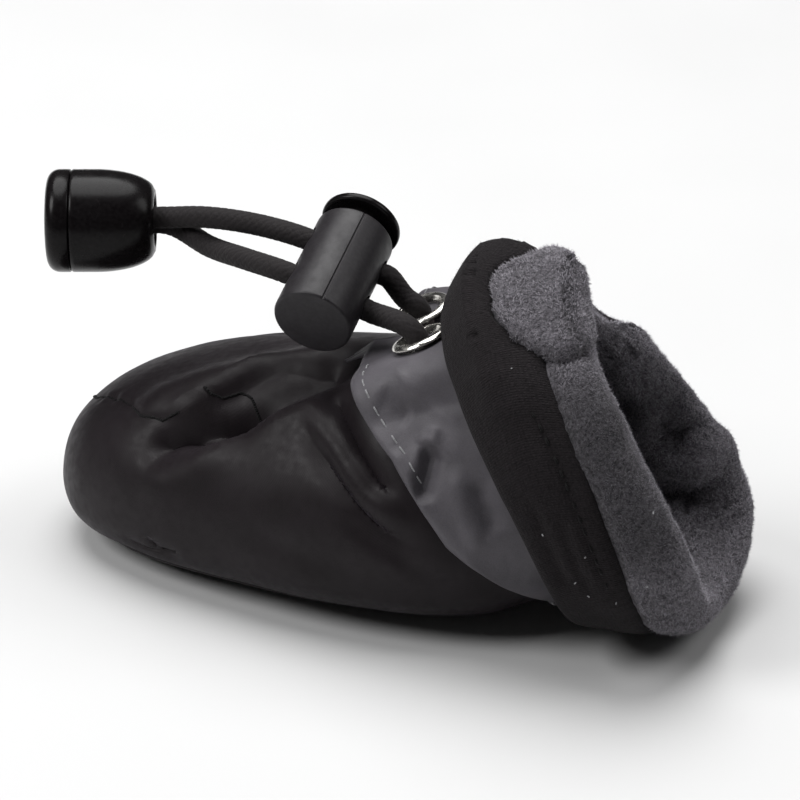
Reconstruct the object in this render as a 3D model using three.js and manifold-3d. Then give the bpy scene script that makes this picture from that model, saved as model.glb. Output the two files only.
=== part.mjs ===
// A small dog boot: a soft lined bag on a dotted oval sole, an ankle strap with a
// drawcord and cord lock, and a fleece collar turned down over the ankle.
// Millimetres. +X runs to the toe, +Y to the side with the strap's near end, +Z up.
// The origin lies on the floor under the middle of the sole.
import * as THREE from "three";
import { mergeVertices } from "three/addons/utils/BufferGeometryUtils.js";
import Module from "manifold-3d";

// The upper's form
const FOOT_LENGTH = 70; // toe tip to heel corner
const BALL_WIDTH = 44; // across the widest part of the foot
const INSTEP_RISE = 30; // throat above the sole
const COLLAR_REACH = 58; // origin to the collar's rear crest
const COLLAR_WIDTH = 44; // across the turned-down collar
const COLLAR_RISE = 47; // collar's top above the floor
const WALL = 2.4; // nylon, padding and fleece together
const COLLAR_REST = 0.9; // collar's lowest line above the floor
const BAND_WALL = 2.9; // the collar's sewn-on band
const BAND_PROUD = 0.4; // how far the band stands out from the fleece beside it
const CLEARANCE = 0.3; // between soft pieces that lie on each other

// The sole
const SOLE_LENGTH = 54;
const SOLE_WIDTH = 33;
const SOLE_SETBACK = 1.0; // sole's middle behind the origin
const SOLE_SQUARENESS = 2.5; // power of the oval outline
const LUG_HEIGHT = 0.8;
const LUG_DIAMETER = 2.2;
const LUG_PITCH = 6.6; // along a row
const LUG_ROW_STEP = 3.7; // row to row, every other row set over by half a pitch
const INSOLE_THICKNESS = 1.8;
const INSOLE_MARGIN = 1.2; // insole past the sole's outline

// The ankle strap and its grommets
const STRAP_THICKNESS = 1.2;
const STRAP_GAP = 0.45; // strap to upper
const GROMMET_DIAMETER = 7.8;
const GROMMET_FLANGE = 0.7;
const GROMMET_GAP = 0.4; // flange above the strap
const GROMMET_BORE = 4.8;
const GROMMET_BARREL_WALL = 0.5;

// The drawcord, its lock and the bell at its end
const CORD_DIAMETER = 2.8;
const CORD_FIT = 0.4; // round the cord in a bore
const LOCK_DIAMETER = 10.3;
const LOCK_LENGTH = 16;
const LOCK_FLOOR = 1.2;
const LOCK_BORE = 7.2;
const LOCK_HOLE_NEAR = -2.3; // cord holes, from the lock's middle towards its button
const LOCK_HOLE_FAR = 4.2;
const BUTTON_DIAMETER = 10.5;
const BUTTON_HEAD = 1.4;
const BUTTON_TRAVEL = 1.4;
const BUTTON_FIT = 0.35; // stem in the lock's bore
const BELL_LENGTH = 14;
const BELL_DIAMETER = 13.4;
const BELL_THROAT = 7.6; // bell's diameter where the cord goes in
const BELL_SOCKET = 6.6;
const BELL_SOCKET_DEPTH = 5;
const BELL_CAP = 3.2; // length of the cap that closes the bell
const BELL_CAP_LIP = 0.8; // spigot of the cap inside the bell
const BELL_WALL = 1.6; // round the cap's spigot

// The upper's sections from the toe to the collar's free edge, each one a loop round
// the shoe. sole and top are its lowest and highest points, near and far its half
// widths to each side, Rise the share of its height where it is widest, Bow how far
// that place lies back, and Power how square it is: 1 is straight, 2 round.
// X values are shares of the length, Z of the rise, and widths of half the width.
const SECTION_COLUMNS = [
  "soleX", "soleZ", "topX", "topZ", "lean",
  "near", "nearRise", "nearBow", "nearPower",
  "far", "farRise", "farBow", "farPower", "solePower",
];
const FOOT_SECTIONS = [
  [0.463, 0.2, 0.463, 0.233, 0, 0.0, 0.45, 0, 2.2, 0.0, 0.45, 0, 2.2, 2.2],
  [0.449, 0.093, 0.443, 0.373, 0, 0.273, 0.45, 0, 2.2, 0.336, 0.45, 0, 2.2, 2.2],
  [0.403, 0.02, 0.394, 0.513, 0, 0.518, 0.42, 0, 2.2, 0.6, 0.42, 0, 2.3, 2.6],
  [0.329, 0, 0.314, 0.62, 0, 0.69, 0.4, 0, 2.2, 0.79, 0.42, 0, 2.3, 3.0],
  [0.2, 0, 0.18, 0.733, 0, 0.836, 0.38, 0, 2.2, 0.909, 0.42, 0, 2.3, 3.4],
  [0.029, 0, 0.014, 0.82, 0, 0.918, 0.38, 0, 2.1, 0.945, 0.42, 0, 2.3, 3.4],
  [-0.171, 0, -0.093, 0.88, 0, 0.973, 0.38, 0, 2.1, 0.909, 0.42, 0, 2.2, 3.2],
  [-0.343, 0, -0.171, 0.935, 0, 0.964, 0.4, 0.014, 2.2, 0.818, 0.42, 0, 2.1, 2.8],
  [-0.457, 0.02, -0.221, 0.975, 0, 0.882, 0.42, 0.029, 2.4, 0.727, 0.45, 0, 2.2, 2.5],
  [-0.529, 0.08, -0.264, 1.005, 0, 0.773, 0.45, 0.043, 2.4, 0.618, 0.44, 0, 2.2, 2.3],
];
const COLLAR_SECTIONS = [
  [-0.724, 0.1, -0.388, 0.685, 0, 0.682, 0.46, 0.069, 2.2, 0.555, 0.4, 0, 2.0, 2.2],
  [-0.828, 0.115, -0.5, 0.75, 0, 0.6, 0.48, 0.086, 2.0, 0.509, 0.34, 0, 1.6, 2.1],
  [-0.931, 0.104, -0.629, 0.775, 0.023, 0.536, 0.5, 0.093, 2.0, 0.564, 0.28, 0.017, 1.4, 2.1],
  [-0.993, 0.08, -0.69, 0.785, 0.045, 0.609, 0.5, 0.11, 2.0, 0.65, 0.3, 0.028, 1.5, 2.0],
  [-0.99, 0.04, -0.68, 0.885, 0.045, 0.727, 0.5, 0.121, 2.0, 0.775, 0.28, 0.017, 1.3, 2.0],
  [-0.95, 0.012, -0.645, 0.975, 0.023, 0.864, 0.5, 0.128, 2.0, 0.873, 0.28, 0, 1.05, 2.0],
  [-0.883, 0.01, -0.531, 0.98, 0, 0.964, 0.5, 0.124, 2.0, 0.9, 0.28, 0, 1.05, 2.0],
  [-0.828, 0.013, -0.479, 0.972, 0, 1.0, 0.5, 0.121, 2.0, 0.891, 0.28, 0, 1.2, 2.0],
  [-0.786, 0.02, -0.44, 0.934, 0, 1.009, 0.5, 0.121, 2.0, 0.864, 0.32, 0, 1.3, 2.1],
  [-0.741, 0.034, -0.39, 0.815, 0, 1.0, 0.5, 0.121, 2.0, 0.836, 0.36, 0, 1.7, 2.2],
];
const SEAM_SECTION = 15.55; // where the band is sewn to the turned-down fleece
const EDGE_SECTION = 19; // the band's free edge

// Folds pressed into the upper. Each runs from one place to another, given as a
// section number and degrees round from the sole by the near side, with a width and a
// depth as shares of the instep's rise. A negative depth is a ridge.
const FOLD_COLUMNS = ["fromSection", "fromDegrees", "toSection", "toDegrees", "width", "depth"];
const FOLDS = [
  [4.1, 126, 4.9, 144, 0.11, 0.11],
  [4.9, 144, 6.0, 168, 0.14, 0.1],
  [4.2, 112, 6.0, 144, 0.1, -0.03],
  [3.8, 150, 5.4, 178, 0.1, -0.03],
  [15.9, 176, 16.7, 158, 0.16, -0.025],
  [16.7, 158, 15.9, 139, 0.16, -0.025],
  [14.0, 205, 15.3, 203, 0.12, -0.1],
  [13.4, 196, 14.4, 192, 0.11, -0.053],
  [11.2, 262, 12.5, 258, 0.1, 0.05],
  [11.4, 238, 12.5, 236, 0.1, -0.04],
];

// The strap's front and back edges as section numbers, at degrees round from the sole.
const STRAP_COLUMNS = ["degrees", "front", "back"];
const STRAP_EDGES = [
  [-180, 6.9, 9.6],
  [-150, 7.2, 9.6],
  [-120, 7.6, 9.9],
  [-90, 8.2, 10.4],
  [-45, 9.0, 10.0],
  [0, 9.2, 9.8],
  [45, 9.2, 10.0],
  [90, 8.1, 10.6],
  [120, 7.6, 10.3],
  [150, 6.9, 10.3],
  [180, 6.7, 10.3],
];
const STRAP_NEAR_END = 176; // degrees round where the strap's two ends stop
const STRAP_FAR_END = -176;

// Each end of the strap is pulled flat round its grommet. A tab's seat is given by the
// section and degrees round under it, how far its plane sinks below the strap's highest
// place under the flange, and how its facing is tilted from the upper's own there. The
// strap leaves the upper between two angles in degrees.
const NEAR_SEAT = { section: 9.56, degrees: 164, sink: 0.29, tilt: [0.037, -0.277, 0.036], from: 132, to: 156 };
const FAR_SEAT = { section: 8.42, degrees: -170.5, sink: 0.1, tilt: [0.12, 0.38, -0.046], from: 138, to: 160 };

// The lock hangs off the grommets and the bell off the lock, each a reach along a
// direction. BUTTON_WAY points along the lock to the button, CORD_WAY through it from
// the bell's side to the grommets, and BELL_WAY from the bell's throat to its cap.
const LOCK_REACH = 12.97;
const BELL_REACH = 28.4;
const LOCK_FROM_GROMMETS = new THREE.Vector3(0.914, 0.1, 0.393).normalize();
const BELL_FROM_LOCK = new THREE.Vector3(0.986, -0.158, 0.053).normalize();
const BUTTON_WAY = new THREE.Vector3(0.067, -0.926, 0.37).normalize();
const CORD_WAY = new THREE.Vector3(-0.895, -0.219, -0.386).normalize();
const BELL_WAY = new THREE.Vector3(0.906, 0.423, 0).normalize();

// Mesh fineness
const ROUND_SEGMENTS = 30;
const UPPER_SECTIONS = [
  0.4, 0.8, 1.3, 2, 2.6, 3.2, 3.7, 4.1, 4.5, 4.9, 5.3, 5.7, 6.2, 6.8, 7.4, 8, 8.6, 9.2,
  9.8, 10.5, 11.2, 11.7, 12.1, 12.5, 12.8, 13.1, 13.4, 13.7, 14, 14.4, 15,
];
const LATHE_SEGMENTS = 18;
const BORE_SEGMENTS = 12;
const CORD_SIDES = 8;
const CORD_STEPS = 26;

const wasm = await Module();
wasm.setup();

const lerp = THREE.MathUtils.lerp;
const radians = THREE.MathUtils.degToRad;
const UP = new THREE.Vector3(0, 1, 0);

// Turns a section row of shares into millimetres.
function sized(row, length, width, rise, base) {
  const s = Object.fromEntries(SECTION_COLUMNS.map((name, i) => [name, row[i]]));
  const half = width / 2;
  return {
    ...s,
    soleX: s.soleX * length,
    topX: s.topX * length,
    soleZ: base + s.soleZ * rise,
    topZ: base + s.topZ * rise,
    lean: s.lean * half,
    near: s.near * half,
    far: s.far * half,
    nearBow: s.nearBow * length,
    farBow: s.farBow * length,
  };
}

const FOOT_BASE = LUG_HEIGHT + WALL / 2;
const COLLAR_BASE = COLLAR_REST + WALL / 2;
const SECTIONS = [
  ...FOOT_SECTIONS.map((row) => sized(row, FOOT_LENGTH, BALL_WIDTH, INSTEP_RISE, FOOT_BASE)),
  ...COLLAR_SECTIONS.map((row) =>
    sized(row, COLLAR_REACH, COLLAR_WIDTH, COLLAR_RISE, COLLAR_BASE),
  ),
];

// A smooth curve through four values, at share f between b and c.
function throughFour(a, b, c, d, f) {
  const bend = 2 * a - 5 * b + 4 * c - d;
  const twist = 3 * b - a - 3 * c + d;
  return 0.5 * (2 * b + (c - a) * f + bend * f ** 2 + twist * f ** 3);
}

// The section at place t, counted in rows of the table.
function section(t) {
  const last = SECTIONS.length - 1;
  const i = Math.min(Math.max(Math.floor(t), 0), last - 1);
  const b = SECTIONS[i];
  const c = SECTIONS[i + 1];
  const made = {};
  for (const name of SECTION_COLUMNS) {
    const before = i > 0 ? SECTIONS[i - 1][name] : 2 * b[name] - c[name];
    const after = i < last - 1 ? SECTIONS[i + 2][name] : 2 * c[name] - b[name];
    made[name] = throughFour(before, b[name], c[name], after, t - i);
  }
  return made;
}

// A point of the smooth middle surface, before its folds. Angle 0 is the sole's middle,
// a quarter turn the near side and half a turn the top.
function smoothPoint(t, angle) {
  const s = section(t);
  const cos = Math.cos(angle);
  const sin = Math.sin(angle);
  const nearSide = sin > 0;
  const upperPower = nearSide ? s.nearPower : s.farPower;
  const power = 2 / (cos > 0 ? s.solePower : upperPower);
  const rise = nearSide ? s.nearRise : s.farRise;
  const along = Math.abs(cos) ** power;
  const height = cos > 0 ? rise * (1 - along) : rise + (1 - rise) * along;
  const half = nearSide ? s.near : s.far;
  const bow = nearSide ? s.nearBow : s.farBow;
  return new THREE.Vector3(
    lerp(s.soleX, s.topX, height) - bow * sin ** 2,
    half * Math.sign(sin) * Math.abs(sin) ** power + s.lean * height,
    lerp(s.soleZ, s.topZ, height),
  );
}

// The outward normal of a surface given as a function of section and angle.
function normalOf(surface, t, angle) {
  const dt = 0.02;
  const da = 0.01;
  const along = surface(t + dt, angle).sub(surface(t - dt, angle));
  const round = surface(t, angle + da).sub(surface(t, angle - da));
  return along.cross(round).normalize();
}

const foldLines = FOLDS.map((row) => {
  const fold = Object.fromEntries(FOLD_COLUMNS.map((name, i) => [name, row[i]]));
  return {
    line: new THREE.Line3(
      smoothPoint(fold.fromSection, radians(fold.fromDegrees)),
      smoothPoint(fold.toSection, radians(fold.toDegrees)),
    ),
    width: fold.width * INSTEP_RISE,
    depth: fold.depth * INSTEP_RISE,
    middle: (fold.fromSection + fold.toSection) / 2,
    reach: Math.abs(fold.toSection - fold.fromSection) / 2 + 1,
  };
});

// How deep the folds press a point of section t inwards.
function foldDepth(t, point) {
  const nearest = new THREE.Vector3();
  let depth = 0;
  for (const fold of foldLines) {
    if (Math.abs(t - fold.middle) > fold.reach) continue;
    fold.line.closestPointToPoint(point, true, nearest);
    const share = nearest.distanceTo(point) / fold.width;
    depth += fold.depth * Math.exp(-(share ** 2));
  }
  return depth;
}

// A point of the upper's middle surface, folds included.
function middlePoint(t, angle) {
  const point = smoothPoint(t, angle);
  const depth = foldDepth(t, point);
  return point.addScaledVector(normalOf(smoothPoint, t, angle), -depth);
}

// A point that stands off the middle surface by a given amount.
function offsetPoint(t, angle, amount) {
  return middlePoint(t, angle).addScaledVector(normalOf(middlePoint, t, angle), amount);
}

// A closed sheet between two offsets of the upper. place(i, j) gives the section, the
// angle and, where it is lifted, an extra offset for grid point i along and j round.
// A ring sheet closes on itself, and a pole closes its first row to one point.
function sheet({ along, round, place, inner, outer, ring = false, pole = null }) {
  const columns = ring ? round : round + 1;
  const positions = [];
  const layers = [outer, inner].map((amount) => {
    const grid = [];
    for (let i = 0; i <= along; i++) {
      const row = [];
      for (let j = 0; j < columns; j++) {
        const [t, angle, lift = 0] = place(i, j);
        row.push(positions.length / 3);
        positions.push(...offsetPoint(t, angle, amount + lift).toArray());
      }
      grid.push(row);
    }
    return grid;
  });
  const faces = [];
  const quad = (a, b, c, d) => faces.push(a, b, c, a, c, d);
  const next = (j) => (ring ? (j + 1) % round : j + 1);
  const [out, into] = layers;
  for (let j = 0; j < round; j++) {
    const k = next(j);
    for (let i = 0; i < along; i++) {
      quad(out[i][j], out[i + 1][j], out[i + 1][k], out[i][k]);
      quad(into[i][j], into[i][k], into[i + 1][k], into[i + 1][j]);
    }
    quad(out[along][k], out[along][j], into[along][j], into[along][k]);
    if (!pole) quad(out[0][j], out[0][k], into[0][k], into[0][j]);
  }
  if (!ring) {
    for (let i = 0; i < along; i++) {
      quad(out[i + 1][0], out[i][0], into[i][0], into[i + 1][0]);
      quad(out[i][round], out[i + 1][round], into[i + 1][round], into[i][round]);
    }
  }
  if (pole) {
    const tips = [outer, inner].map((amount) => {
      positions.push(...pole.clone().add(new THREE.Vector3(amount, 0, 0)).toArray());
      return positions.length / 3 - 1;
    });
    for (let j = 0; j < round; j++) {
      faces.push(tips[0], out[0][j], out[0][next(j)]);
      faces.push(tips[1], into[0][next(j)], into[0][j]);
    }
  }
  const geometry = new THREE.BufferGeometry();
  geometry.setAttribute("position", new THREE.Float32BufferAttribute(positions, 3));
  geometry.setIndex(faces);
  return geometry;
}

// Solids for cutting and joining
function solidOf(geometry) {
  const plain = geometry.clone();
  plain.deleteAttribute("normal");
  plain.deleteAttribute("uv");
  const merged = mergeVertices(plain, 1e-4);
  const vertProperties = new Float32Array(merged.attributes.position.array);
  const triVerts = new Uint32Array(merged.index.array);
  return new wasm.Manifold(new wasm.Mesh({ numProp: 3, vertProperties, triVerts }));
}

function geometryOf(solid) {
  const mesh = solid.getMesh();
  const geometry = new THREE.BufferGeometry();
  geometry.setAttribute("position", new THREE.BufferAttribute(mesh.vertProperties, 3));
  geometry.setIndex(new THREE.BufferAttribute(mesh.triVerts, 1));
  return geometry;
}

// Stands a geometry made along Y at a place, along a direction.
function stand(geometry, place, way, turn = 0) {
  const turned = new THREE.Quaternion().setFromUnitVectors(UP, way);
  return geometry.rotateY(turn).applyQuaternion(turned).translate(place.x, place.y, place.z);
}

// A round body of [radius, height] points that starts and ends on its axis.
function turned(profile, segments = LATHE_SEGMENTS) {
  return new THREE.LatheGeometry(profile.map(([r, h]) => new THREE.Vector2(r, h)), segments);
}

// The sole's oval, grown by a margin and set between two heights.
function soleBlock(margin, height) {
  const points = [];
  const count = 56;
  for (let i = 0; i < count; i++) {
    const angle = (i / count) * 2 * Math.PI;
    const power = 2 / SOLE_SQUARENESS;
    const x = Math.sign(Math.cos(angle)) * Math.abs(Math.cos(angle)) ** power;
    const y = Math.sign(Math.sin(angle)) * Math.abs(Math.sin(angle)) ** power;
    points.push(
      new THREE.Vector2(
        x * (SOLE_LENGTH / 2 + margin) - SOLE_SETBACK,
        y * (SOLE_WIDTH / 2 + margin),
      ),
    );
  }
  return new THREE.ExtrudeGeometry(new THREE.Shape(points), {
    depth: height,
    bevelEnabled: false,
  }).translate(0, 0, -1);
}

const SOLE_BLOCK_HEIGHT = INSTEP_RISE / 3;

function makeUpper() {
  const tip = smoothPoint(0, 0).lerp(smoothPoint(0, Math.PI), 0.5);
  const places = [...UPPER_SECTIONS, SEAM_SECTION];
  const bag = sheet({
    along: places.length - 1,
    round: ROUND_SEGMENTS,
    place: (i, j) => [places[i], (j / ROUND_SEGMENTS) * 2 * Math.PI],
    inner: -WALL / 2,
    outer: WALL / 2,
    ring: true,
    pole: tip,
  });
  return geometryOf(solidOf(bag).subtract(solidOf(soleBlock(0, SOLE_BLOCK_HEIGHT))));
}

// A patch of the upper's underside between two offsets, inside the sole's oval.
function underside(inner, outer, margin, columns) {
  const rows = 13;
  const reach = radians(78);
  const patch = sheet({
    along: rows,
    round: columns,
    place: (i, j) => [lerp(1.3, 9.2, i / rows), lerp(-reach, reach, j / columns)],
    inner,
    outer,
  });
  return solidOf(patch).intersect(solidOf(soleBlock(margin, SOLE_BLOCK_HEIGHT)));
}

// The height of the sole's underside over a place on the floor.
function undersideHeight(x, y) {
  let low = 0.5;
  let high = 10;
  let point = null;
  for (let i = 0; i < 24; i++) {
    const t = (low + high) / 2;
    const s = section(t);
    const half = y > 0 ? s.near : s.far;
    const share = Math.min(Math.abs(y) / half, 1);
    const angle = Math.sign(y) * Math.asin(share ** (s.solePower / 2));
    point = offsetPoint(t, angle, WALL / 2);
    if (point.x > x) low = t;
    else high = t;
  }
  return point.z;
}

// Rubber dots in staggered rows, fused under the sole, each with a flat round end.
function makeOutsole() {
  let sole = underside(-WALL / 2, WALL / 2, -CLEARANCE, 10);
  const rows = Math.floor(SOLE_LENGTH / 2 / LUG_ROW_STEP);
  const columns = Math.floor(SOLE_WIDTH / 2 / LUG_PITCH) + 1;
  const root = WALL / 3; // how far a dot reaches into the sole
  const outline = 1 - LUG_DIAMETER / SOLE_WIDTH - 0.03;
  for (let row = -rows; row <= rows; row++) {
    for (let column = -columns; column <= columns; column++) {
      const x = row * LUG_ROW_STEP;
      const y = (column + (row % 2 ? 0.5 : 0)) * LUG_PITCH;
      const share =
        Math.abs((2 * (x + SOLE_SETBACK)) / SOLE_LENGTH) ** SOLE_SQUARENESS +
        Math.abs((2 * y) / SOLE_WIDTH) ** SOLE_SQUARENESS;
      if (share > outline ** SOLE_SQUARENESS) continue;
      const low = undersideHeight(x, y) - LUG_HEIGHT;
      const height = LUG_HEIGHT + root;
      const dot = new THREE.CylinderGeometry(LUG_DIAMETER / 2, LUG_DIAMETER * 0.4, height, 6);
      dot.rotateX(Math.PI / 2).translate(x, y, Math.max(low, 0) + height / 2);
      sole = sole.add(solidOf(dot));
    }
  }
  return geometryOf(sole);
}

function makeInsole() {
  const top = -WALL / 2 - CLEARANCE;
  return geometryOf(underside(top - INSOLE_THICKNESS, top, INSOLE_MARGIN, 8));
}

function makeBand() {
  const rows = 5;
  const gap = CLEARANCE / 2.4; // sections stand about this many millimetres apart here
  return sheet({
    along: rows,
    round: ROUND_SEGMENTS,
    place: (i, j) => [
      lerp(SEAM_SECTION + gap, EDGE_SECTION, i / rows),
      (j / ROUND_SEGMENTS) * 2 * Math.PI,
    ],
    inner: -WALL / 2 - BAND_PROUD,
    outer: BAND_WALL - WALL / 2 - BAND_PROUD,
    ring: true,
  });
}

// The strap's edge sections at an angle round, by the table.
function strapEdges(angle) {
  const degrees = THREE.MathUtils.radToDeg(angle);
  const rows = STRAP_EDGES.map((row) =>
    Object.fromEntries(STRAP_COLUMNS.map((name, i) => [name, row[i]])),
  );
  const k = Math.max(1, rows.findIndex((row) => row.degrees >= degrees));
  const share = (degrees - rows[k - 1].degrees) / (rows[k].degrees - rows[k - 1].degrees);
  return [
    lerp(rows[k - 1].front, rows[k].front, share),
    lerp(rows[k - 1].back, rows[k].back, share),
  ];
}

const STRAP_OFFSET = WALL / 2 + STRAP_GAP;

// A tab's plane from its seat: it lies on the strap's highest place under the flange.
function tabOf({ section: t, degrees, sink, tilt, from, to }) {
  const angle = radians(degrees);
  const height = STRAP_OFFSET + STRAP_THICKNESS;
  const foot = offsetPoint(t, angle, height);
  const way = normalOf(middlePoint, t, angle).add(new THREE.Vector3(...tilt)).normalize();
  const sections = 1.5; // the flange covers less than this to each side
  const degreesRound = 20;
  let highest = 0;
  for (let dt = -sections; dt <= sections; dt += sections / 15) {
    for (let turn = -degreesRound; turn <= degreesRound; turn += degreesRound / 10) {
      const away = offsetPoint(t + dt, angle + radians(turn), height).sub(foot);
      const rise = away.dot(way);
      if (away.addScaledVector(way, -rise).length() > GROMMET_DIAMETER / 2) continue;
      highest = Math.max(highest, rise);
    }
  }
  return { place: foot.addScaledVector(way, highest - sink), way, from, to };
}
const NEAR_TAB = tabOf(NEAR_SEAT);
const FAR_TAB = tabOf(FAR_SEAT);
const LOCK_MIDDLE = NEAR_TAB.place
  .clone()
  .lerp(FAR_TAB.place, 0.5)
  .addScaledVector(LOCK_FROM_GROMMETS, LOCK_REACH);
const BELL_THROAT_PLACE = LOCK_MIDDLE.clone().addScaledVector(BELL_FROM_LOCK, BELL_REACH);

// How far the strap stands off the upper at a place, to lie flat round its grommets.
function tabLift(t, angle) {
  const tab = angle > 0 ? NEAR_TAB : FAR_TAB;
  const degrees = Math.abs(THREE.MathUtils.radToDeg(angle));
  const share = THREE.MathUtils.smoothstep(degrees, tab.from, tab.to);
  if (share === 0) return 0;
  const point = offsetPoint(t, angle, STRAP_OFFSET + STRAP_THICKNESS);
  const normal = normalOf(middlePoint, t, angle);
  const lift = tab.place.clone().sub(point).dot(tab.way) / normal.dot(tab.way);
  return share * Math.max(lift, 0);
}

function makeStrap() {
  const rows = 4;
  const columns = 32;
  const start = radians(STRAP_FAR_END);
  const end = radians(STRAP_NEAR_END);
  const band = sheet({
    along: rows,
    round: columns,
    place: (i, j) => {
      const angle = lerp(start, end, j / columns);
      const [front, back] = strapEdges(angle);
      const t = lerp(front, back, i / rows);
      return [t, angle, tabLift(t, angle)];
    },
    inner: STRAP_OFFSET,
    outer: STRAP_OFFSET + STRAP_THICKNESS,
  });
  const hole = GROMMET_BORE / 2 + GROMMET_BARREL_WALL + CLEARANCE;
  return geometryOf(
    [NEAR_TAB, FAR_TAB].reduce(
      (strap, { place, way }) =>
        strap.subtract(
          solidOf(stand(new THREE.CylinderGeometry(hole, hole, 2 * hole, BORE_SEGMENTS), place, way)),
        ),
      solidOf(band),
    ),
  );
}

// A pressed eyelet: a rounded flange over the strap and a barrel through it.
function makeGrommet({ place, way }) {
  const bore = GROMMET_BORE / 2;
  const barrel = bore + GROMMET_BARREL_WALL;
  const rim = GROMMET_DIAMETER / 2;
  const low = GROMMET_GAP;
  const high = low + GROMMET_FLANGE;
  const profile = [
    [bore, -STRAP_THICKNESS],
    [barrel, -STRAP_THICKNESS],
    [barrel, low],
    [rim - 0.2, low],
    [rim, low + GROMMET_FLANGE * 0.35],
    [rim - 0.35, high - 0.1],
    [lerp(rim, barrel, 0.5), high],
    [barrel, high - 0.2],
    [bore, low],
    [bore, -STRAP_THICKNESS],
  ];
  return stand(turned(profile, BORE_SEGMENTS), place, way);
}

// A straight round bore through the lock and its stem, at a place along the lock.
function cordBore(offset, radius, length) {
  const place = LOCK_MIDDLE.clone().addScaledVector(BUTTON_WAY, offset);
  return stand(new THREE.CylinderGeometry(radius, radius, length, BORE_SEGMENTS), place, CORD_WAY);
}

function makeLockBarrel() {
  const radius = LOCK_DIAMETER / 2;
  const half = LOCK_LENGTH / 2;
  const bore = LOCK_BORE / 2;
  const round = 0.4;
  const cup = turned([
    [0, -half],
    [radius - round, -half],
    [radius, -half + round],
    [radius, half - round],
    [radius - round, half],
    [bore, half],
    [bore, -half + LOCK_FLOOR],
    [0, -half + LOCK_FLOOR],
  ]);
  let barrel = solidOf(stand(cup, LOCK_MIDDLE, BUTTON_WAY));
  const hole = CORD_DIAMETER / 2 + CORD_FIT;
  for (const offset of [LOCK_HOLE_NEAR, LOCK_HOLE_FAR])
    barrel = barrel.subtract(solidOf(cordBore(offset, hole, LOCK_DIAMETER * 1.2)));
  return geometryOf(barrel);
}

// The button: a domed head and a stem whose long slot lets the cords pass at any stroke.
function makeLockButton() {
  const half = LOCK_LENGTH / 2;
  const stem = LOCK_BORE / 2 - BUTTON_FIT;
  const head = BUTTON_DIAMETER / 2;
  const under = half + BUTTON_TRAVEL + CLEARANCE;
  const foot = -half + LOCK_FLOOR + BUTTON_TRAVEL + CLEARANCE;
  const body = turned([
    [0, foot],
    [stem, foot],
    [stem, under],
    [head - 0.2, under],
    [head, under + 0.3],
    [head - 0.3, under + BUTTON_HEAD * 0.65],
    [head * 0.6, under + BUTTON_HEAD],
    [0, under + BUTTON_HEAD],
  ]);
  const radius = CORD_DIAMETER / 2 + CORD_FIT;
  const slotFrom = LOCK_HOLE_NEAR;
  const slotTo = LOCK_HOLE_FAR + BUTTON_TRAVEL;
  const slot = new THREE.Shape();
  slot.absarc(0, slotFrom, radius, Math.PI, 2 * Math.PI);
  slot.absarc(0, slotTo, radius, 0, Math.PI);
  const cutter = new THREE.ExtrudeGeometry(slot, {
    depth: LOCK_DIAMETER,
    bevelEnabled: false,
    curveSegments: BORE_SEGMENTS / 4,
  }).translate(0, 0, -LOCK_DIAMETER / 2);
  const across = new THREE.Vector3().crossVectors(BUTTON_WAY, CORD_WAY);
  const frame = new THREE.Matrix4().makeBasis(across, BUTTON_WAY, CORD_WAY);
  cutter.applyMatrix4(frame.setPosition(LOCK_MIDDLE));
  return geometryOf(
    solidOf(stand(body, LOCK_MIDDLE, BUTTON_WAY)).subtract(solidOf(cutter)),
  );
}

// The bell's outer radius at a height above its throat: a quarter-round swell.
function bellRadius(height) {
  const share = Math.min(height / (BELL_LENGTH * 0.55), 1);
  return lerp(BELL_THROAT / 2, BELL_DIAMETER / 2, Math.sqrt(1 - (1 - share) ** 2));
}

const BELL_SPLIT = BELL_LENGTH - BELL_CAP; // where the bell ends and its cap begins

function makeBell() {
  const steps = 7;
  const profile = [[0, BELL_SOCKET_DEPTH], [BELL_SOCKET / 2, BELL_SOCKET_DEPTH], [BELL_SOCKET / 2, 0]];
  for (let i = 0; i <= steps; i++) {
    const height = (BELL_SPLIT * i) / steps;
    profile.push([bellRadius(height) + (i ? 0 : 0.01), height]);
  }
  const seatRadius = BELL_DIAMETER / 2 - BELL_WALL;
  const seatFloor = BELL_SPLIT - BELL_CAP_LIP - CLEARANCE;
  profile.push([seatRadius, BELL_SPLIT], [seatRadius, seatFloor], [0, seatFloor]);
  return stand(turned(profile), BELL_THROAT_PLACE, BELL_WAY);
}

function makeBellCap() {
  const radius = BELL_DIAMETER / 2;
  const lip = radius - BELL_WALL - CLEARANCE;
  const low = BELL_SPLIT + CLEARANCE;
  const corner = BELL_CAP * 0.45;
  const profile = [[0, BELL_SPLIT - BELL_CAP_LIP], [lip, BELL_SPLIT - BELL_CAP_LIP], [lip, low], [radius, low]];
  for (let i = 0; i <= 4; i++) {
    const angle = (i / 4) * (Math.PI / 2);
    profile.push([
      radius - corner + corner * Math.cos(angle),
      BELL_LENGTH - corner + corner * Math.sin(angle),
    ]);
  }
  profile.push([0, BELL_LENGTH + 0.25]);
  return stand(turned(profile), BELL_THROAT_PLACE, BELL_WAY);
}

// A place between the lock and the bell: shares of the reach along, aside and up.
function onTheWay([along, aside, up]) {
  const side = new THREE.Vector3(0, 0, 1).cross(BELL_FROM_LOCK).normalize();
  const over = new THREE.Vector3().crossVectors(BELL_FROM_LOCK, side);
  return LOCK_MIDDLE.clone()
    .addScaledVector(BELL_FROM_LOCK, along * BELL_REACH)
    .addScaledVector(side, aside * BELL_REACH)
    .addScaledVector(over, up * BELL_REACH);
}

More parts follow.
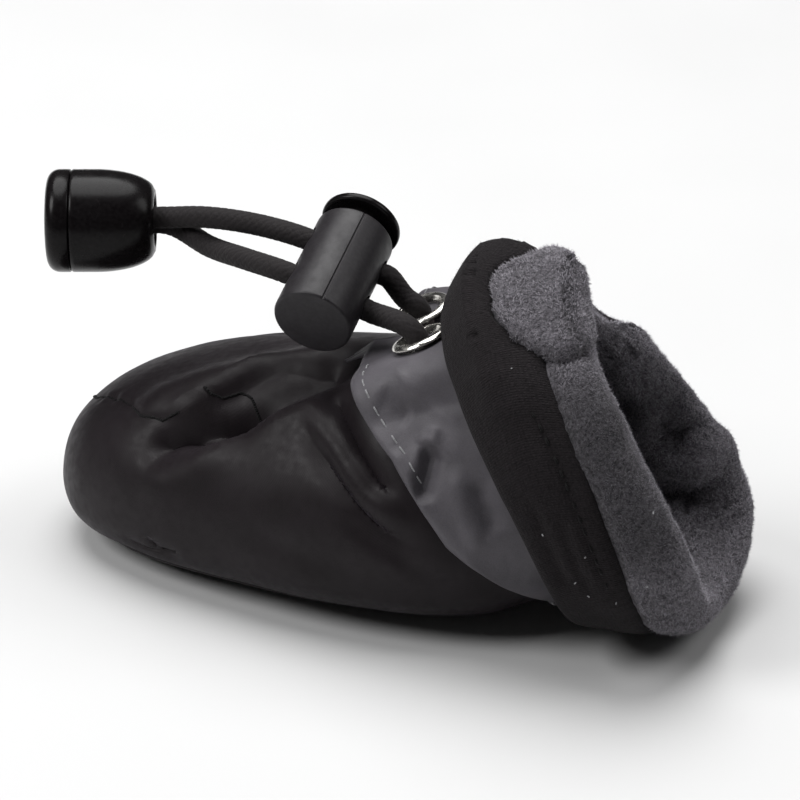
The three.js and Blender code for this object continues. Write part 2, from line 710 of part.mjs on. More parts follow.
// A strand of the drawcord from inside a grommet through the lock into the bell. It
// stands up out of the grommet, and its run from the lock to the bell is chosen by hand.
function strand(grommet, holeOffset, run, bellSide) {
  const hole = LOCK_MIDDLE.clone().addScaledVector(BUTTON_WAY, holeOffset);
  const reach = LOCK_DIAMETER / 2;
  const at = (distance) => hole.clone().addScaledVector(CORD_WAY, distance);
  const mouth = BELL_THROAT_PLACE.clone().add(bellSide);
  const toward = at(reach).sub(grommet.place).projectOnPlane(grommet.way).normalize();
  const above = (height, aside) =>
    grommet.place
      .clone()
      .addScaledVector(grommet.way, height * CORD_DIAMETER)
      .addScaledVector(toward, aside * CORD_DIAMETER);
  const points = [
    above(-0.07, 0.14),
    above(0.43, 0.18),
    above(0.96, 0.6),
    at(reach * 1.2),
    at(reach),
    at(0),
    at(-reach),
    ...run.map(onTheWay),
    mouth.clone().addScaledVector(BELL_WAY, -CORD_DIAMETER / 2),
    mouth.clone().addScaledVector(BELL_WAY, BELL_SOCKET_DEPTH * 0.8),
  ];
  const path = new THREE.CatmullRomCurve3(points, false, "centripetal");
  const circle = new THREE.Shape();
  circle.absarc(0, 0, CORD_DIAMETER / 2, 0, 2 * Math.PI);
  const tube = new THREE.ExtrudeGeometry(circle, {
    steps: CORD_STEPS,
    curveSegments: CORD_SIDES / 2,
    extrudePath: path,
    bevelEnabled: false,
  });
  return geometryOf(solidOf(tube));
}

// The strands lie beside each other in the bell's throat.
const STRAND_SIDE = new THREE.Vector3(0.33, -0.72, -0.61)
  .normalize()
  .multiplyScalar((CORD_DIAMETER + CLEARANCE) / 2);
const NEAR_RUN = [[0.422, 0.086, 0.006], [0.696, -0.013, -0.047]];
const FAR_RUN = [[0.473, -0.064, 0.109], [0.727, -0.027, 0.085]];

// Materials
function finish(color, roughness, metalness = 0) {
  return new THREE.MeshStandardMaterial({ color, roughness, metalness });
}
const NYLON = finish(0x34323a, 0.6);
const FLEECE = finish(0x5d5b62, 0.95);
const BAND_KNIT = finish(0x3c3a40, 0.95);
const REFLECTIVE = finish(0x77757d, 0.45);
const SOLE_RUBBER = finish(0x1f1e22, 0.7);
const NICKEL = finish(0xb9b8b4, 0.25, 1);
const CORD_BRAID = finish(0x232226, 0.85);
const LOCK_PLASTIC = finish(0x3d3b40, 0.45);
const GLOSS_PLASTIC = finish(0x121115, 0.2);

const shoe = new THREE.Group();
shoe.name = "dog_shoe";

function add(name, geometry, material) {
  const mesh = new THREE.Mesh(geometry, material);
  mesh.name = name;
  shoe.add(mesh);
}

add("outsole", makeOutsole(), SOLE_RUBBER);
add("insole", makeInsole(), FLEECE);
add("upper", makeUpper(), NYLON);
add("collar_band", makeBand(), BAND_KNIT);
add("ankle_strap", makeStrap(), REFLECTIVE);
add("grommet_near", makeGrommet(NEAR_TAB), NICKEL);
add("grommet_far", makeGrommet(FAR_TAB), NICKEL);
add("cord_lock_barrel", makeLockBarrel(), LOCK_PLASTIC);
add("cord_lock_button", makeLockButton(), GLOSS_PLASTIC);
add("drawcord_near", strand(NEAR_TAB, LOCK_HOLE_NEAR, NEAR_RUN, STRAND_SIDE), CORD_BRAID);
add("drawcord_far", strand(FAR_TAB, LOCK_HOLE_FAR, FAR_RUN, STRAND_SIDE.clone().negate()), CORD_BRAID);
add("cord_end_bell", makeBell(), GLOSS_PLASTIC);
add("cord_end_cap", makeBellCap(), GLOSS_PLASTIC);

export default shoe;
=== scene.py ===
# A small dog boot in its studio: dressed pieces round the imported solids, lights, floor and camera.
# Shapes are worked out in millimetres and made in metres. +X runs to the toe, +Y to the near side.
import math

import bpy
import numpy as np
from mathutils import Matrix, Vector


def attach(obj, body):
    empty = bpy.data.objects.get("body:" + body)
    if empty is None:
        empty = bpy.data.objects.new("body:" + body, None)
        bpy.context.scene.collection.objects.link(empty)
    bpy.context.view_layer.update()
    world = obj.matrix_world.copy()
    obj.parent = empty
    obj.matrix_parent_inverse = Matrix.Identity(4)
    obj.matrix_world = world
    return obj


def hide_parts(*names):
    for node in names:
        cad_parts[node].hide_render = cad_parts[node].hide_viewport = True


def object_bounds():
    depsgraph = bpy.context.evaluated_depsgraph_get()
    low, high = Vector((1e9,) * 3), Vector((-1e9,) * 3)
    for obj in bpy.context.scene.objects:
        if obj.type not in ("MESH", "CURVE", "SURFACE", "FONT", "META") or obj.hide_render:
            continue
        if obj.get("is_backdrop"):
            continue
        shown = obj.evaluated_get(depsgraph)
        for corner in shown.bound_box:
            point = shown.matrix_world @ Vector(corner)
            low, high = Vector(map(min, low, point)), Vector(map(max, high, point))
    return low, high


MM = 0.001

# The upper's form, as in the part's source
FOOT_LENGTH = 70
BALL_WIDTH = 44
INSTEP_RISE = 30
COLLAR_REACH = 58
COLLAR_WIDTH = 44
COLLAR_RISE = 47
WALL = 2.4
COLLAR_REST = 0.9
BAND_WALL = 2.9
BAND_PROUD = 0.4
SOLE_LENGTH = 54
SOLE_WIDTH = 33
SOLE_SETBACK = 1.0
SOLE_SQUARENESS = 2.5
LUG_HEIGHT = 0.8
LUG_DIAMETER = 2.2
LUG_PITCH = 6.6
LUG_ROW_STEP = 3.7
INSOLE_THICKNESS = 1.8
STRAP_THICKNESS = 1.2
STRAP_GAP = 0.45
GROMMET_DIAMETER = 7.8
GROMMET_BORE = 4.8
CORD_DIAMETER = 2.8
LOCK_DIAMETER = 10.3
LOCK_LENGTH = 16
LOCK_FLOOR = 1.2
LOCK_BORE = 7.2
LOCK_HOLE_NEAR = -2.3
LOCK_HOLE_FAR = 4.2
HOLE_DIAMETER = 3.6
BUTTON_DIAMETER = 10.5
BUTTON_HEAD = 1.4
BUTTON_TRAVEL = 1.4
BELL_LENGTH = 14
BELL_DIAMETER = 13.4
BELL_THROAT = 7.6
BELL_SOCKET = 6.6
BELL_SOCKET_DEPTH = 5
BELL_CAP = 3.2
CLEARANCE = 0.3

# Columns of the section rows: lowest and highest point, then each side's half width,
# the share of the height where it is widest, how far that lies back, and its squareness.
(SOLE_X, SOLE_Z, TOP_X, TOP_Z, LEAN, NEAR, NEAR_RISE, NEAR_BOW, NEAR_POWER,
 FAR, FAR_RISE, FAR_BOW, FAR_POWER, SOLE_POWER) = range(14)
FOOT_SECTIONS = [
    [0.463, 0.2, 0.463, 0.233, 0, 0.0, 0.45, 0, 2.2, 0.0, 0.45, 0, 2.2, 2.2],
    [0.449, 0.093, 0.443, 0.373, 0, 0.273, 0.45, 0, 2.2, 0.336, 0.45, 0, 2.2, 2.2],
    [0.403, 0.02, 0.394, 0.513, 0, 0.518, 0.42, 0, 2.2, 0.6, 0.42, 0, 2.3, 2.6],
    [0.329, 0, 0.314, 0.62, 0, 0.69, 0.4, 0, 2.2, 0.79, 0.42, 0, 2.3, 3.0],
    [0.2, 0, 0.18, 0.733, 0, 0.836, 0.38, 0, 2.2, 0.909, 0.42, 0, 2.3, 3.4],
    [0.029, 0, 0.014, 0.82, 0, 0.918, 0.38, 0, 2.1, 0.945, 0.42, 0, 2.3, 3.4],
    [-0.171, 0, -0.093, 0.88, 0, 0.973, 0.38, 0, 2.1, 0.909, 0.42, 0, 2.2, 3.2],
    [-0.343, 0, -0.171, 0.935, 0, 0.964, 0.4, 0.014, 2.2, 0.818, 0.42, 0, 2.1, 2.8],
    [-0.457, 0.02, -0.221, 0.975, 0, 0.882, 0.42, 0.029, 2.4, 0.727, 0.45, 0, 2.2, 2.5],
    [-0.529, 0.08, -0.264, 1.005, 0, 0.773, 0.45, 0.043, 2.4, 0.618, 0.44, 0, 2.2, 2.3],
]
COLLAR_SECTIONS = [
    [-0.724, 0.1, -0.388, 0.685, 0, 0.682, 0.46, 0.069, 2.2, 0.555, 0.4, 0, 2.0, 2.2],
    [-0.828, 0.115, -0.5, 0.75, 0, 0.6, 0.48, 0.086, 2.0, 0.509, 0.34, 0, 1.6, 2.1],
    [-0.931, 0.104, -0.629, 0.775, 0.023, 0.536, 0.5, 0.093, 2.0, 0.564, 0.28, 0.017, 1.4, 2.1],
    [-0.993, 0.08, -0.69, 0.785, 0.045, 0.609, 0.5, 0.11, 2.0, 0.65, 0.3, 0.028, 1.5, 2.0],
    [-0.99, 0.04, -0.68, 0.885, 0.045, 0.727, 0.5, 0.121, 2.0, 0.775, 0.28, 0.017, 1.3, 2.0],
    [-0.95, 0.012, -0.645, 0.975, 0.023, 0.864, 0.5, 0.128, 2.0, 0.873, 0.28, 0, 1.05, 2.0],
    [-0.883, 0.01, -0.531, 0.98, 0, 0.964, 0.5, 0.124, 2.0, 0.9, 0.28, 0, 1.05, 2.0],
    [-0.828, 0.013, -0.479, 0.972, 0, 1.0, 0.5, 0.121, 2.0, 0.891, 0.28, 0, 1.2, 2.0],
    [-0.786, 0.02, -0.44, 0.934, 0, 1.009, 0.5, 0.121, 2.0, 0.864, 0.32, 0, 1.3, 2.1],
    [-0.741, 0.034, -0.39, 0.815, 0, 1.0, 0.5, 0.121, 2.0, 0.836, 0.36, 0, 1.7, 2.2],
]
SEAM_SECTION = 15.55
EDGE_SECTION = 19

# Main folds: from and to as (section, degrees), then width and depth in millimetres.
FOLDS = [
    [4.1, 126, 4.9, 144, 3.3, 3.3],
    [4.9, 144, 6.0, 168, 4.2, 3.0],
    [4.2, 112, 6.0, 144, 3.0, -0.9],
    [3.8, 150, 5.4, 178, 3.0, -0.9],
    [15.9, 176, 16.7, 158, 4.8, -0.75],
    [16.7, 158, 15.9, 139, 4.8, -0.75],
    [14.0, 205, 15.3, 203, 3.6, -3.0],
    [13.4, 196, 14.4, 192, 3.3, -1.6],
    [11.2, 262, 12.5, 258, 3.0, 1.5],
    [11.4, 238, 12.5, 236, 3.0, -1.2],
]

# Finer folds that every layer of the bag follows: a path of (section, degrees) places,
# its width and depth in millimetres, and whether it comes to a sharp line.
BAG_FOLDS = [
    ([(4.1, 137), (4.5, 127), (4.68, 131), (4.8, 140), (4.9, 150)], 1.3, 1.0, False),
    ([(4.25, 148), (4.6, 158), (4.9, 168), (5.3, 174)], 1.5, 1.1, False),
    ([(3.85, 141), (4.0, 144), (4.22, 150), (4.44, 159), (4.62, 168), (4.8, 180)], 0.9, -0.75, True),
    ([(4.35, 128), (4.62, 121), (4.9, 128), (5.3, 136), (5.7, 142), (6.15, 146), (6.5, 150)], 1.1, -0.85, True),
    ([(5.9, 147), (6.15, 145), (6.45, 140), (6.81, 131), (7.05, 122), (7.3, 111), (7.6, 102), (7.9, 94)],
     1.2, -1.1, False),
    ([(6.3, 156), (6.6, 149), (6.95, 138), (7.2, 127), (7.5, 114), (7.8, 104)], 1.5, 1.6, False),
    ([(6.1, 136), (6.4, 130), (6.7, 122), (7.0, 112), (7.4, 98), (7.9, 86)], 1.7, 0.9, False),
    ([(3.85, 141), (3.83, 124), (3.88, 108)], 1.3, -0.3, False),
    ([(4.0, 82), (4.27, 76), (4.55, 74)], 0.5, 0.5, True),
    ([(3.6, 74), (4.0, 70), (4.6, 69)], 0.7, 0.35, False),
    ([(5.0, 171), (5.6, 172), (6.2, 175)], 1.2, 0.7, False),
    ([(11.56, 261), (11.7, 247), (12.09, 227), (12.46, 212)], 1.3, 0.8, True),
    ([(14.18, 58), (14.17, 76), (14.1, 92), (13.97, 104)], 1.2, 0.7, True),
    ([(11.6, 250), (11.9, 248), (12.2, 249), (12.5, 252)], 2.2, -1.8, False),
    ([(11.0, 290), (11.3, 291), (11.6, 292), (12.0, 293)], 2.0, -1.6, False),
    ([(11.3, 266), (11.67, 264), (11.93, 263), (12.36, 261), (12.8, 261)], 1.0, 0.9, False),
    ([(16.5, 144), (16.17, 137), (15.69, 134), (15.3, 132), (14.9, 135), (14.6, 140), (14.3, 148)],
     0.9, -0.9, False),
]

# The strap's front and back edges as section numbers, at degrees round from the sole.
STRAP_DEGREES = [-180, -150, -120, -90, -45, 0, 45, 90, 120, 150, 180]
STRAP_FRONT = [7.6, 7.4, 7.6, 8.2, 9.0, 9.2, 9.5, 8.35, 8.05, 7.25, 6.9]
STRAP_BACK = [9.6, 9.6, 9.9, 10.4, 10.0, 9.8, 10.0, 10.6, 10.3, 10.3, 10.3]
STRAP_END = 176

# Each end of the strap lies flat round its grommet.
NEAR_TAB = {"place": (-19.86, 6.05, 35.6), "way": (0.418, 0.03, 0.908), "from": 132, "to": 156}
FAR_TAB = {"place": (-15.88, -3.17, 35.14), "way": (0.329, 0.22, 0.918), "from": 138, "to": 160}

LOCK_MIDDLE = (-6.02, 2.74, 40.47)
BUTTON_WAY = (0.067, -0.926, 0.37)
CORD_WAY = (-0.895, -0.219, -0.386)
BELL_THROAT_PLACE = (21.99, -1.75, 41.97)
BELL_WAY = (0.906, 0.423, 0)
STRAND_SIDE = (0.33, -0.72, -0.61)
NEAR_RUN = [(6.18, 3.26, 41.27), (13.48, -0.76, 40.18)]
FAR_RUN = [(6.78, -1.15, 44.27), (14.09, -1.26, 43.97)]

# The camera: the photograph's angle, from its target's place
TARGET = (-14, 0, 24)
AZIMUTH = 205
ELEVATION = 25
DISTANCE = 480
SENSOR = 36
LENS = 168.4


def unit(v):
    v = np.asarray(v, float)
    return v / np.maximum(np.linalg.norm(v, axis=-1, keepdims=True), 1e-12)


def smoothstep(x, low, high):
    f = np.clip((x - low) / (high - low), 0, 1)
    return f * f * (3 - 2 * f)


# The upper's surface

def sized(rows, length, width, rise, base):
    table = np.array(rows, float)
    table[:, [SOLE_X, TOP_X, NEAR_BOW, FAR_BOW]] *= length
    table[:, [SOLE_Z, TOP_Z]] = base + table[:, [SOLE_Z, TOP_Z]] * rise
    table[:, [LEAN, NEAR, FAR]] *= width / 2
    return table


SECTIONS = np.concatenate([
    sized(FOOT_SECTIONS, FOOT_LENGTH, BALL_WIDTH, INSTEP_RISE, LUG_HEIGHT + WALL / 2),
    sized(COLLAR_SECTIONS, COLLAR_REACH, COLLAR_WIDTH, COLLAR_RISE, COLLAR_REST + WALL / 2),
])
LAST = len(SECTIONS) - 1
PADDED = np.concatenate([
    2 * SECTIONS[:1] - SECTIONS[1:2],
    SECTIONS,
    2 * SECTIONS[-1:] - SECTIONS[-2:-1],
])


def section(t):
    i = np.clip(np.floor(t).astype(int), 0, LAST - 1)
    f = (t - i)[..., None]
    a, b, c, d = PADDED[i], PADDED[i + 1], PADDED[i + 2], PADDED[i + 3]
    bend = 2 * a - 5 * b + 4 * c - d
    twist = 3 * b - a - 3 * c + d
    return 0.5 * (2 * b + (c - a) * f + bend * f**2 + twist * f**3)


def smooth_point(t, angle):
    """The middle surface before its folds. Angle 0 is the sole's middle, a quarter turn near."""
    t, angle = np.asarray(t, float), np.asarray(angle, float)
    s = section(t)
    cos, sin = np.cos(angle), np.sin(angle)
    near = sin > 0
    side_power = np.where(near, s[..., NEAR_POWER], s[..., FAR_POWER])
    power = 2 / np.where(cos > 0, s[..., SOLE_POWER], side_power)
    rise = np.where(near, s[..., NEAR_RISE], s[..., FAR_RISE])
    along = np.abs(cos) ** power
    height = np.where(cos > 0, rise * (1 - along), rise + (1 - rise) * along)
    half = np.where(near, s[..., NEAR], s[..., FAR])
    bow = np.where(near, s[..., NEAR_BOW], s[..., FAR_BOW])
    x = s[..., SOLE_X] + (s[..., TOP_X] - s[..., SOLE_X]) * height - bow * sin**2
    y = half * np.sign(sin) * np.abs(sin) ** power + s[..., LEAN] * height
    z = s[..., SOLE_Z] + (s[..., TOP_Z] - s[..., SOLE_Z]) * height
    return np.stack([x, y, z], -1)


def normal_of(surface, t, angle):
    dt, da = 0.02, 0.01
    along = surface(t + dt, angle) - surface(t - dt, angle)
    round_it = surface(t, angle + da) - surface(t, angle - da)
    return unit(np.cross(along, round_it))


FOLD_LINES = []
for fold in FOLDS:
    ends = smooth_point(np.array([fold[0], fold[2]]), np.radians([fold[1], fold[3]]))
    reach = abs(fold[2] - fold[0]) / 2 + 1
    FOLD_LINES.append((ends[0], ends[1], fold[4], fold[5], (fold[0] + fold[2]) / 2, reach))


def line_distance(points, start, end):
    """Distance to a straight line, and the share of the line where that is."""
    way = end - start
    share = np.clip(((points - start) @ way) / (way @ way), 0, 1)
    return np.linalg.norm(points - start - share[..., None] * way, axis=-1), share


def crease(points, t, path, width, depth, sharp=False, window=1.2):
    """How far a fold along a path of (section, degrees) places presses its points in."""
    path = np.array(path, float)
    line = smooth_point(path[:, 0], np.radians(path[:, 1]))
    reach = 5 * width
    inside = (t > path[:, 0].min() - window) & (t < path[:, 0].max() + window)
    inside = inside & np.all((points > line.min(0) - reach) & (points < line.max(0) + reach), axis=-1)
    pressed = np.zeros(points.shape[:-1])
    if not inside.any():
        return pressed
    near = points[inside]
    lengths = np.linalg.norm(np.diff(line, axis=0), axis=-1)
    run = np.concatenate([[0], np.cumsum(lengths)])
    best = np.full(len(near), 1e9)
    place = np.zeros(len(near))
    for k in range(len(line) - 1):
        distance, share = line_distance(near, line[k], line[k + 1])
        closer = distance < best
        best = np.where(closer, distance, best)
        place = np.where(closer, run[k] + share * lengths[k], place)
    along = place / run[-1]
    taper = smoothstep(along, 0, 0.25) * smoothstep(1 - along, 0, 0.25)
    shape = np.exp(-best / width) if sharp else np.exp(-((best / width) ** 2))
    pressed[inside] = shape * taper
    return pressed * depth


def middle_point(t, angle):
    t, angle = np.asarray(t, float), np.asarray(angle, float)
    point = smooth_point(t, angle)
    depth = np.zeros(point.shape[:-1])
    for start, end, width, deep, middle, reach in FOLD_LINES:
        distance = line_distance(point, start, end)[0]
        depth += np.where(np.abs(t - middle) <= reach, deep * np.exp(-((distance / width) ** 2)), 0)
    return point - normal_of(smooth_point, t, angle) * depth[..., None]


def bag_point(t, angle):
    """The middle surface with the bag's finer folds, which the strap doesn't follow."""
    t, angle = np.asarray(t, float), np.asarray(angle, float)
    point = smooth_point(t, angle)
    depth = np.zeros(point.shape[:-1])
    for path, width, deep, sharp in BAG_FOLDS:
        depth += crease(point, t, path, width, deep, sharp, 0.6)
    return middle_point(t, angle) - normal_of(smooth_point, t, angle) * depth[..., None]


def offset_point(t, angle, amount):
    normal = normal_of(middle_point, t, angle)
    return middle_point(t, angle) + normal * np.asarray(amount, float)[..., None]


def even_sections(low, high, spacing):
    """Sections about that many millimetres apart."""
    t = np.linspace(low, high, 300)
    angles = np.radians(np.arange(0, 360, 30))
    grid = smooth_point(t[:, None], angles[None, :])
    step = np.linalg.norm(np.diff(grid, axis=0), axis=-1).mean(1)
    run = np.concatenate([[0], np.cumsum(step)])
    count = max(2, round(run[-1] / spacing) + 1)
    return np.interp(np.linspace(0, run[-1], count), run, t)


def even_angles(sections, columns, low=0.0, high=2 * math.pi, ring=True):
    """For each section, angles that set its points evenly round the shoe."""
    fine = np.linspace(low, high, 721)
    grid = smooth_point(np.asarray(sections)[:, None], fine[None, :])
    step = np.linalg.norm(np.diff(grid, axis=1), axis=-1) + 1e-6
    run = np.concatenate([np.zeros((len(step), 1)), np.cumsum(step, 1)], 1)
    shares = np.linspace(0, 1, columns + 1 if ring else columns)
    if ring:
        shares = shares[:-1]
    return np.array([np.interp(shares * r[-1], r, fine) for r in run])


def noise(points, size, seed):
    """Smooth noise from -1 to 1 with bumps about that size."""
    table = np.random.default_rng(seed).uniform(-1, 1, (32, 32, 32))
    cell = np.asarray(points) / size
    low = np.floor(cell).astype(int)
    f = cell - low
    f = f * f * (3 - 2 * f)
    total = 0
    for corner in np.ndindex(2, 2, 2):
        weight = np.prod(np.where(np.array(corner) == 1, f, 1 - f), axis=-1)
        i = (low + np.array(corner)) % 32
        total = total + weight * table[i[..., 0], i[..., 1], i[..., 2]]
    return total


# Meshes

def grid_faces(rows, columns, wrap_rows=False, wrap_columns=False):
    """Quads of a grid of vertices that faces along x round."""
    i = np.arange(rows if wrap_rows else rows - 1)[:, None]
    j = np.arange(columns if wrap_columns else columns - 1)[None, :]
    k, m = (i + 1) % rows, (j + 1) % columns
    quads = np.stack(np.broadcast_arrays(
        i * columns + j, k * columns + j, k * columns + m, i * columns + m), -1)
    return quads.reshape(-1, 4)


def grid_weave(points, wrap_rows=False, wrap_columns=False):
    """Millimetres round and along for each corner of grid_faces."""
    rows, columns = points.shape[:2]
    more = points
    if wrap_rows:
        more = np.concatenate([more, more[:1]], 0)
    if wrap_columns:
        more = np.concatenate([more, more[:, :1]], 1)
    round_steps = np.linalg.norm(np.diff(more, axis=1), axis=-1).mean(0)
    along_steps = np.linalg.norm(np.diff(more, axis=0), axis=-1).mean(1)
    u = np.concatenate([[0], np.cumsum(round_steps)])
    v = np.concatenate([[0], np.cumsum(along_steps)])
    i = np.arange(rows if wrap_rows else rows - 1)[:, None]
    j = np.arange(columns if wrap_columns else columns - 1)[None, :]
    corners = [(u[j], v[i]), (u[j], v[i + 1]), (u[j + 1], v[i + 1]), (u[j + 1], v[i])]
    return np.stack([np.stack(np.broadcast_arrays(a, b), -1) for a, b in corners], 2).reshape(-1, 4, 2)


def make(name, vertices, faces, material, body="shoe", slot=None, stands_for=(), weave=None):
    """A smooth mesh object from millimetres. faces is a list of arrays of equal-sided faces."""
    groups = [np.asarray(g) for g in faces if len(g)]
    mesh = bpy.data.meshes.new(name)
    vertices = np.asarray(vertices, float).reshape(-1, 3) * MM
    corners = np.concatenate([g.ravel() for g in groups])
    sides = np.concatenate([np.full(len(g), g.shape[1]) for g in groups])
    mesh.vertices.add(len(vertices))
    mesh.vertices.foreach_set("co", vertices.ravel())
    mesh.loops.add(len(corners))
    mesh.loops.foreach_set("vertex_index", corners.astype(np.int32))
    mesh.polygons.add(len(sides))
    mesh.polygons.foreach_set("loop_start", np.concatenate([[0], np.cumsum(sides)[:-1]]).astype(np.int32))
    mesh.polygons.foreach_set("use_smooth", np.ones(len(sides), bool))
    mesh.update(calc_edges=True)
    if weave is not None:
        layer = mesh.uv_layers.new(name="Weave")
        flat = np.zeros((len(corners), 2), np.float32)
        flat[: weave.size // 2] = weave.reshape(-1, 2)
        layer.uv.foreach_set("vector", flat.ravel())
    mesh.validate()
    mesh.materials.append(material)
    made = bpy.data.objects.new(name, mesh)
    bpy.context.scene.collection.objects.link(made)
    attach(made, body)
    if stands_for:
        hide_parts(*stands_for)
    return made


def frame_along(path):
    """Tangent and two steady sideways directions at each point of a path."""
    path = np.asarray(path, float)
    tangent = unit(np.gradient(path, axis=0))
    side = np.zeros_like(path)
    start = np.cross(tangent[0], (0, 0, 1))
    if np.linalg.norm(start) < 0.1:
        start = np.cross(tangent[0], (0, 1, 0))
    side[0] = unit(start)
    for i in range(1, len(path)):
        kept = side[i - 1] - tangent[i] * (side[i - 1] @ tangent[i])
        side[i] = unit(kept)
    return tangent, side, np.cross(tangent, side)


def tube(path, radius, sides, closed=False):
    """Vertices and faces of a round tube; radius may be an array per point or per vertex."""
    tangent, side, other = frame_along(path)
    turn = np.linspace(0, 2 * math.pi, sides, endpoint=False)
    radius = np.broadcast_to(np.asarray(radius, float).reshape(-1, 1) if np.ndim(radius) == 1
                             else radius, (len(path), sides))
    ring = np.cos(turn)[None, :, None] * side[:, None] + np.sin(turn)[None, :, None] * other[:, None]
    points = np.asarray(path)[:, None] + ring * radius[..., None]
    faces = [grid_faces(len(path), sides, closed, True)[:, ::-1]]
    if not closed:
        last = (len(path) - 1) * sides
        faces.append(np.arange(sides)[None, :])
        faces.append((last + np.arange(sides))[None, ::-1])
    return points.reshape(-1, 3), faces


def joined(parts):
    """One vertex and face list from several."""
    vertices, faces, count = [], [], 0
    for points, groups in parts:
        vertices.append(points)
        faces.extend(g + count for g in groups)
        count += len(points)
    return np.concatenate(vertices), faces


def lathe(profile, place, way, segments=72):
    """A round body of (radius, height) points about a direction; radius 0 closes an end."""
    way = unit(way)
    side = unit(np.cross(way, (0.3, 0.2, 0.93) if abs(way[2]) < 0.9 else (1, 0, 0)))
    other = np.cross(way, side)
    turn = np.linspace(0, 2 * math.pi, segments, endpoint=False)
    ring = np.cos(turn)[:, None] * side + np.sin(turn)[:, None] * other
    inner = [p for p in profile if p[0] > 0]
    points = np.array([[np.array(place) + way * h + r * d for d in ring] for r, h in inner])
    closed = len(inner) == len(profile)
    faces = [grid_faces(len(inner), segments, closed, True)[:, ::-1]]
    vertices = points.reshape(-1, 3)
    if not closed:
        ends = [np.array(place) + way * profile[0][1], np.array(place) + way * profile[-1][1]]
        vertices = np.concatenate([vertices, ends])
        j = np.arange(segments)
        k = (j + 1) % segments
        first, last = len(vertices) - 2, (len(inner) - 1) * segments
        faces.append(np.stack([np.full(segments, first), k, j], 1))
        faces.append(np.stack([np.full(segments, first + 1), last + j, last + k], 1))
    return vertices, faces


def rounded(corners, radius, steps=5):
    """A (radius, height) profile with its inner corners rounded off."""
    made = [tuple(corners[0])]
    for a, b, c in zip(corners, corners[1:], corners[2:]):
        a, b, c = (np.array(p, float) for p in (a, b, c))
        back, on = a - b, c - b
        cut = min(radius, 0.45 * np.linalg.norm(back), 0.45 * np.linalg.norm(on))
        start, end = b + unit(back) * cut, b + unit(on) * cut
        for f in np.linspace(0, 1, steps):
            made.append(tuple((1 - f) ** 2 * start + 2 * f * (1 - f) * b + f**2 * end))
    made.append(tuple(corners[-1]))
    return made


# Materials

class Finish:
    """A material of nodes round one Principled shader."""

    def __init__(self, name, color, roughness, **shader):
        self.material = bpy.data.materials.new(name)
        self.material.use_nodes = True
        self.nodes = self.material.node_tree.nodes
        self.links = self.material.node_tree.links
        self.shader = self.nodes["Principled BSDF"]
        self.shader.inputs["Base Color"].default_value = (*color, 1)
        self.shader.inputs["Roughness"].default_value = roughness
        for socket, value in shader.items():
            self.shader.inputs[socket.replace("_", " ")].default_value = value
        self.height = None

    def node(self, kind, inputs=(), **settings):
        made = self.nodes.new("ShaderNode" + kind)
        for key, value in settings.items():
            setattr(made, key, value)
        for key, value in dict(inputs).items():
            if isinstance(value, bpy.types.NodeSocket):
                self.links.new(value, made.inputs[key])
            else:
                made.inputs[key].default_value = value
        return made

    def place(self, scale=1.0, source="Object"):
        """The surface's own coordinates in millimetres, or its weave coordinates."""
        if source == "Weave":
            base = self.node("UVMap", uv_map="Weave").outputs["UV"]
        else:
            base = self.node("TexCoord").outputs["Object"]
            scale = scale / MM
        scaled = self.node("VectorMath", {0: base}, operation="SCALE")
        scaled.inputs["Scale"].default_value = scale
        return scaled.outputs["Vector"]

    def noise(self, place, size, detail=2.0, roughness=0.5):
        return self.node("TexNoise", {"Vector": place, "Scale": 1 / size, "Detail": detail,
                                      "Roughness": roughness}).outputs["Fac"]

    def voronoi(self, place, size, feature="F1", randomness=1.0):
        return self.node("TexVoronoi", {"Vector": place, "Scale": 1 / size, "Randomness": randomness},
                         feature=feature).outputs["Distance"]

    def math(self, operation, *values):
        return self.node("Math", {i: v for i, v in enumerate(values)}, operation=operation).outputs[0]

    def ramp(self, value, low, high, out_low=0.0, out_high=1.0):
        return self.node("MapRange", {"Value": value, "From Min": low, "From Max": high,
                                      "To Min": out_low, "To Max": out_high}).outputs[0]

    def blend(self, factor, a, b):
        mixed = self.node("Mix", data_type="RGBA")
        self.links.new(factor, mixed.inputs["Factor"])
        for socket, value in ((mixed.inputs[6], a), (mixed.inputs[7], b)):
            if isinstance(value, bpy.types.NodeSocket):
                self.links.new(value, socket)
            else:
                socket.default_value = (*value, 1)
        return mixed.outputs[2]

    def shaded(self, color, centre, near, far, least):
        """A colour painted darker softly round a place given in millimetres: painted shade."""
        away = self.node("VectorMath", {0: self.place(), 1: centre}, operation="DISTANCE").outputs["Value"]
        tone = self.node("CombineXYZ", {i: self.ramp(away, near, far, least, 1.0) for i in range(3)})
        mixed = self.node("Mix", data_type="RGBA", blend_type="MULTIPLY")
        mixed.inputs["Factor"].default_value = 1
        self.links.new(color, mixed.inputs[6])
        self.links.new(tone.outputs["Vector"], mixed.inputs[7])
        return mixed.outputs[2]

    def color(self, value):
        self.links.new(value, self.shader.inputs["Base Color"])

    def roughen(self, value):
        self.links.new(value, self.shader.inputs["Roughness"])

    def bump(self, height, distance, strength=1.0):
        """Raises the surface by a height from 0 to 1 times that many millimetres."""
        made = self.node("Bump", {"Height": height, "Distance": distance * MM, "Strength": strength})
        if self.height is not None:
            self.links.new(self.height, made.inputs["Normal"])
        self.height = made.outputs["Normal"]
        self.links.new(self.height, self.shader.inputs["Normal"])


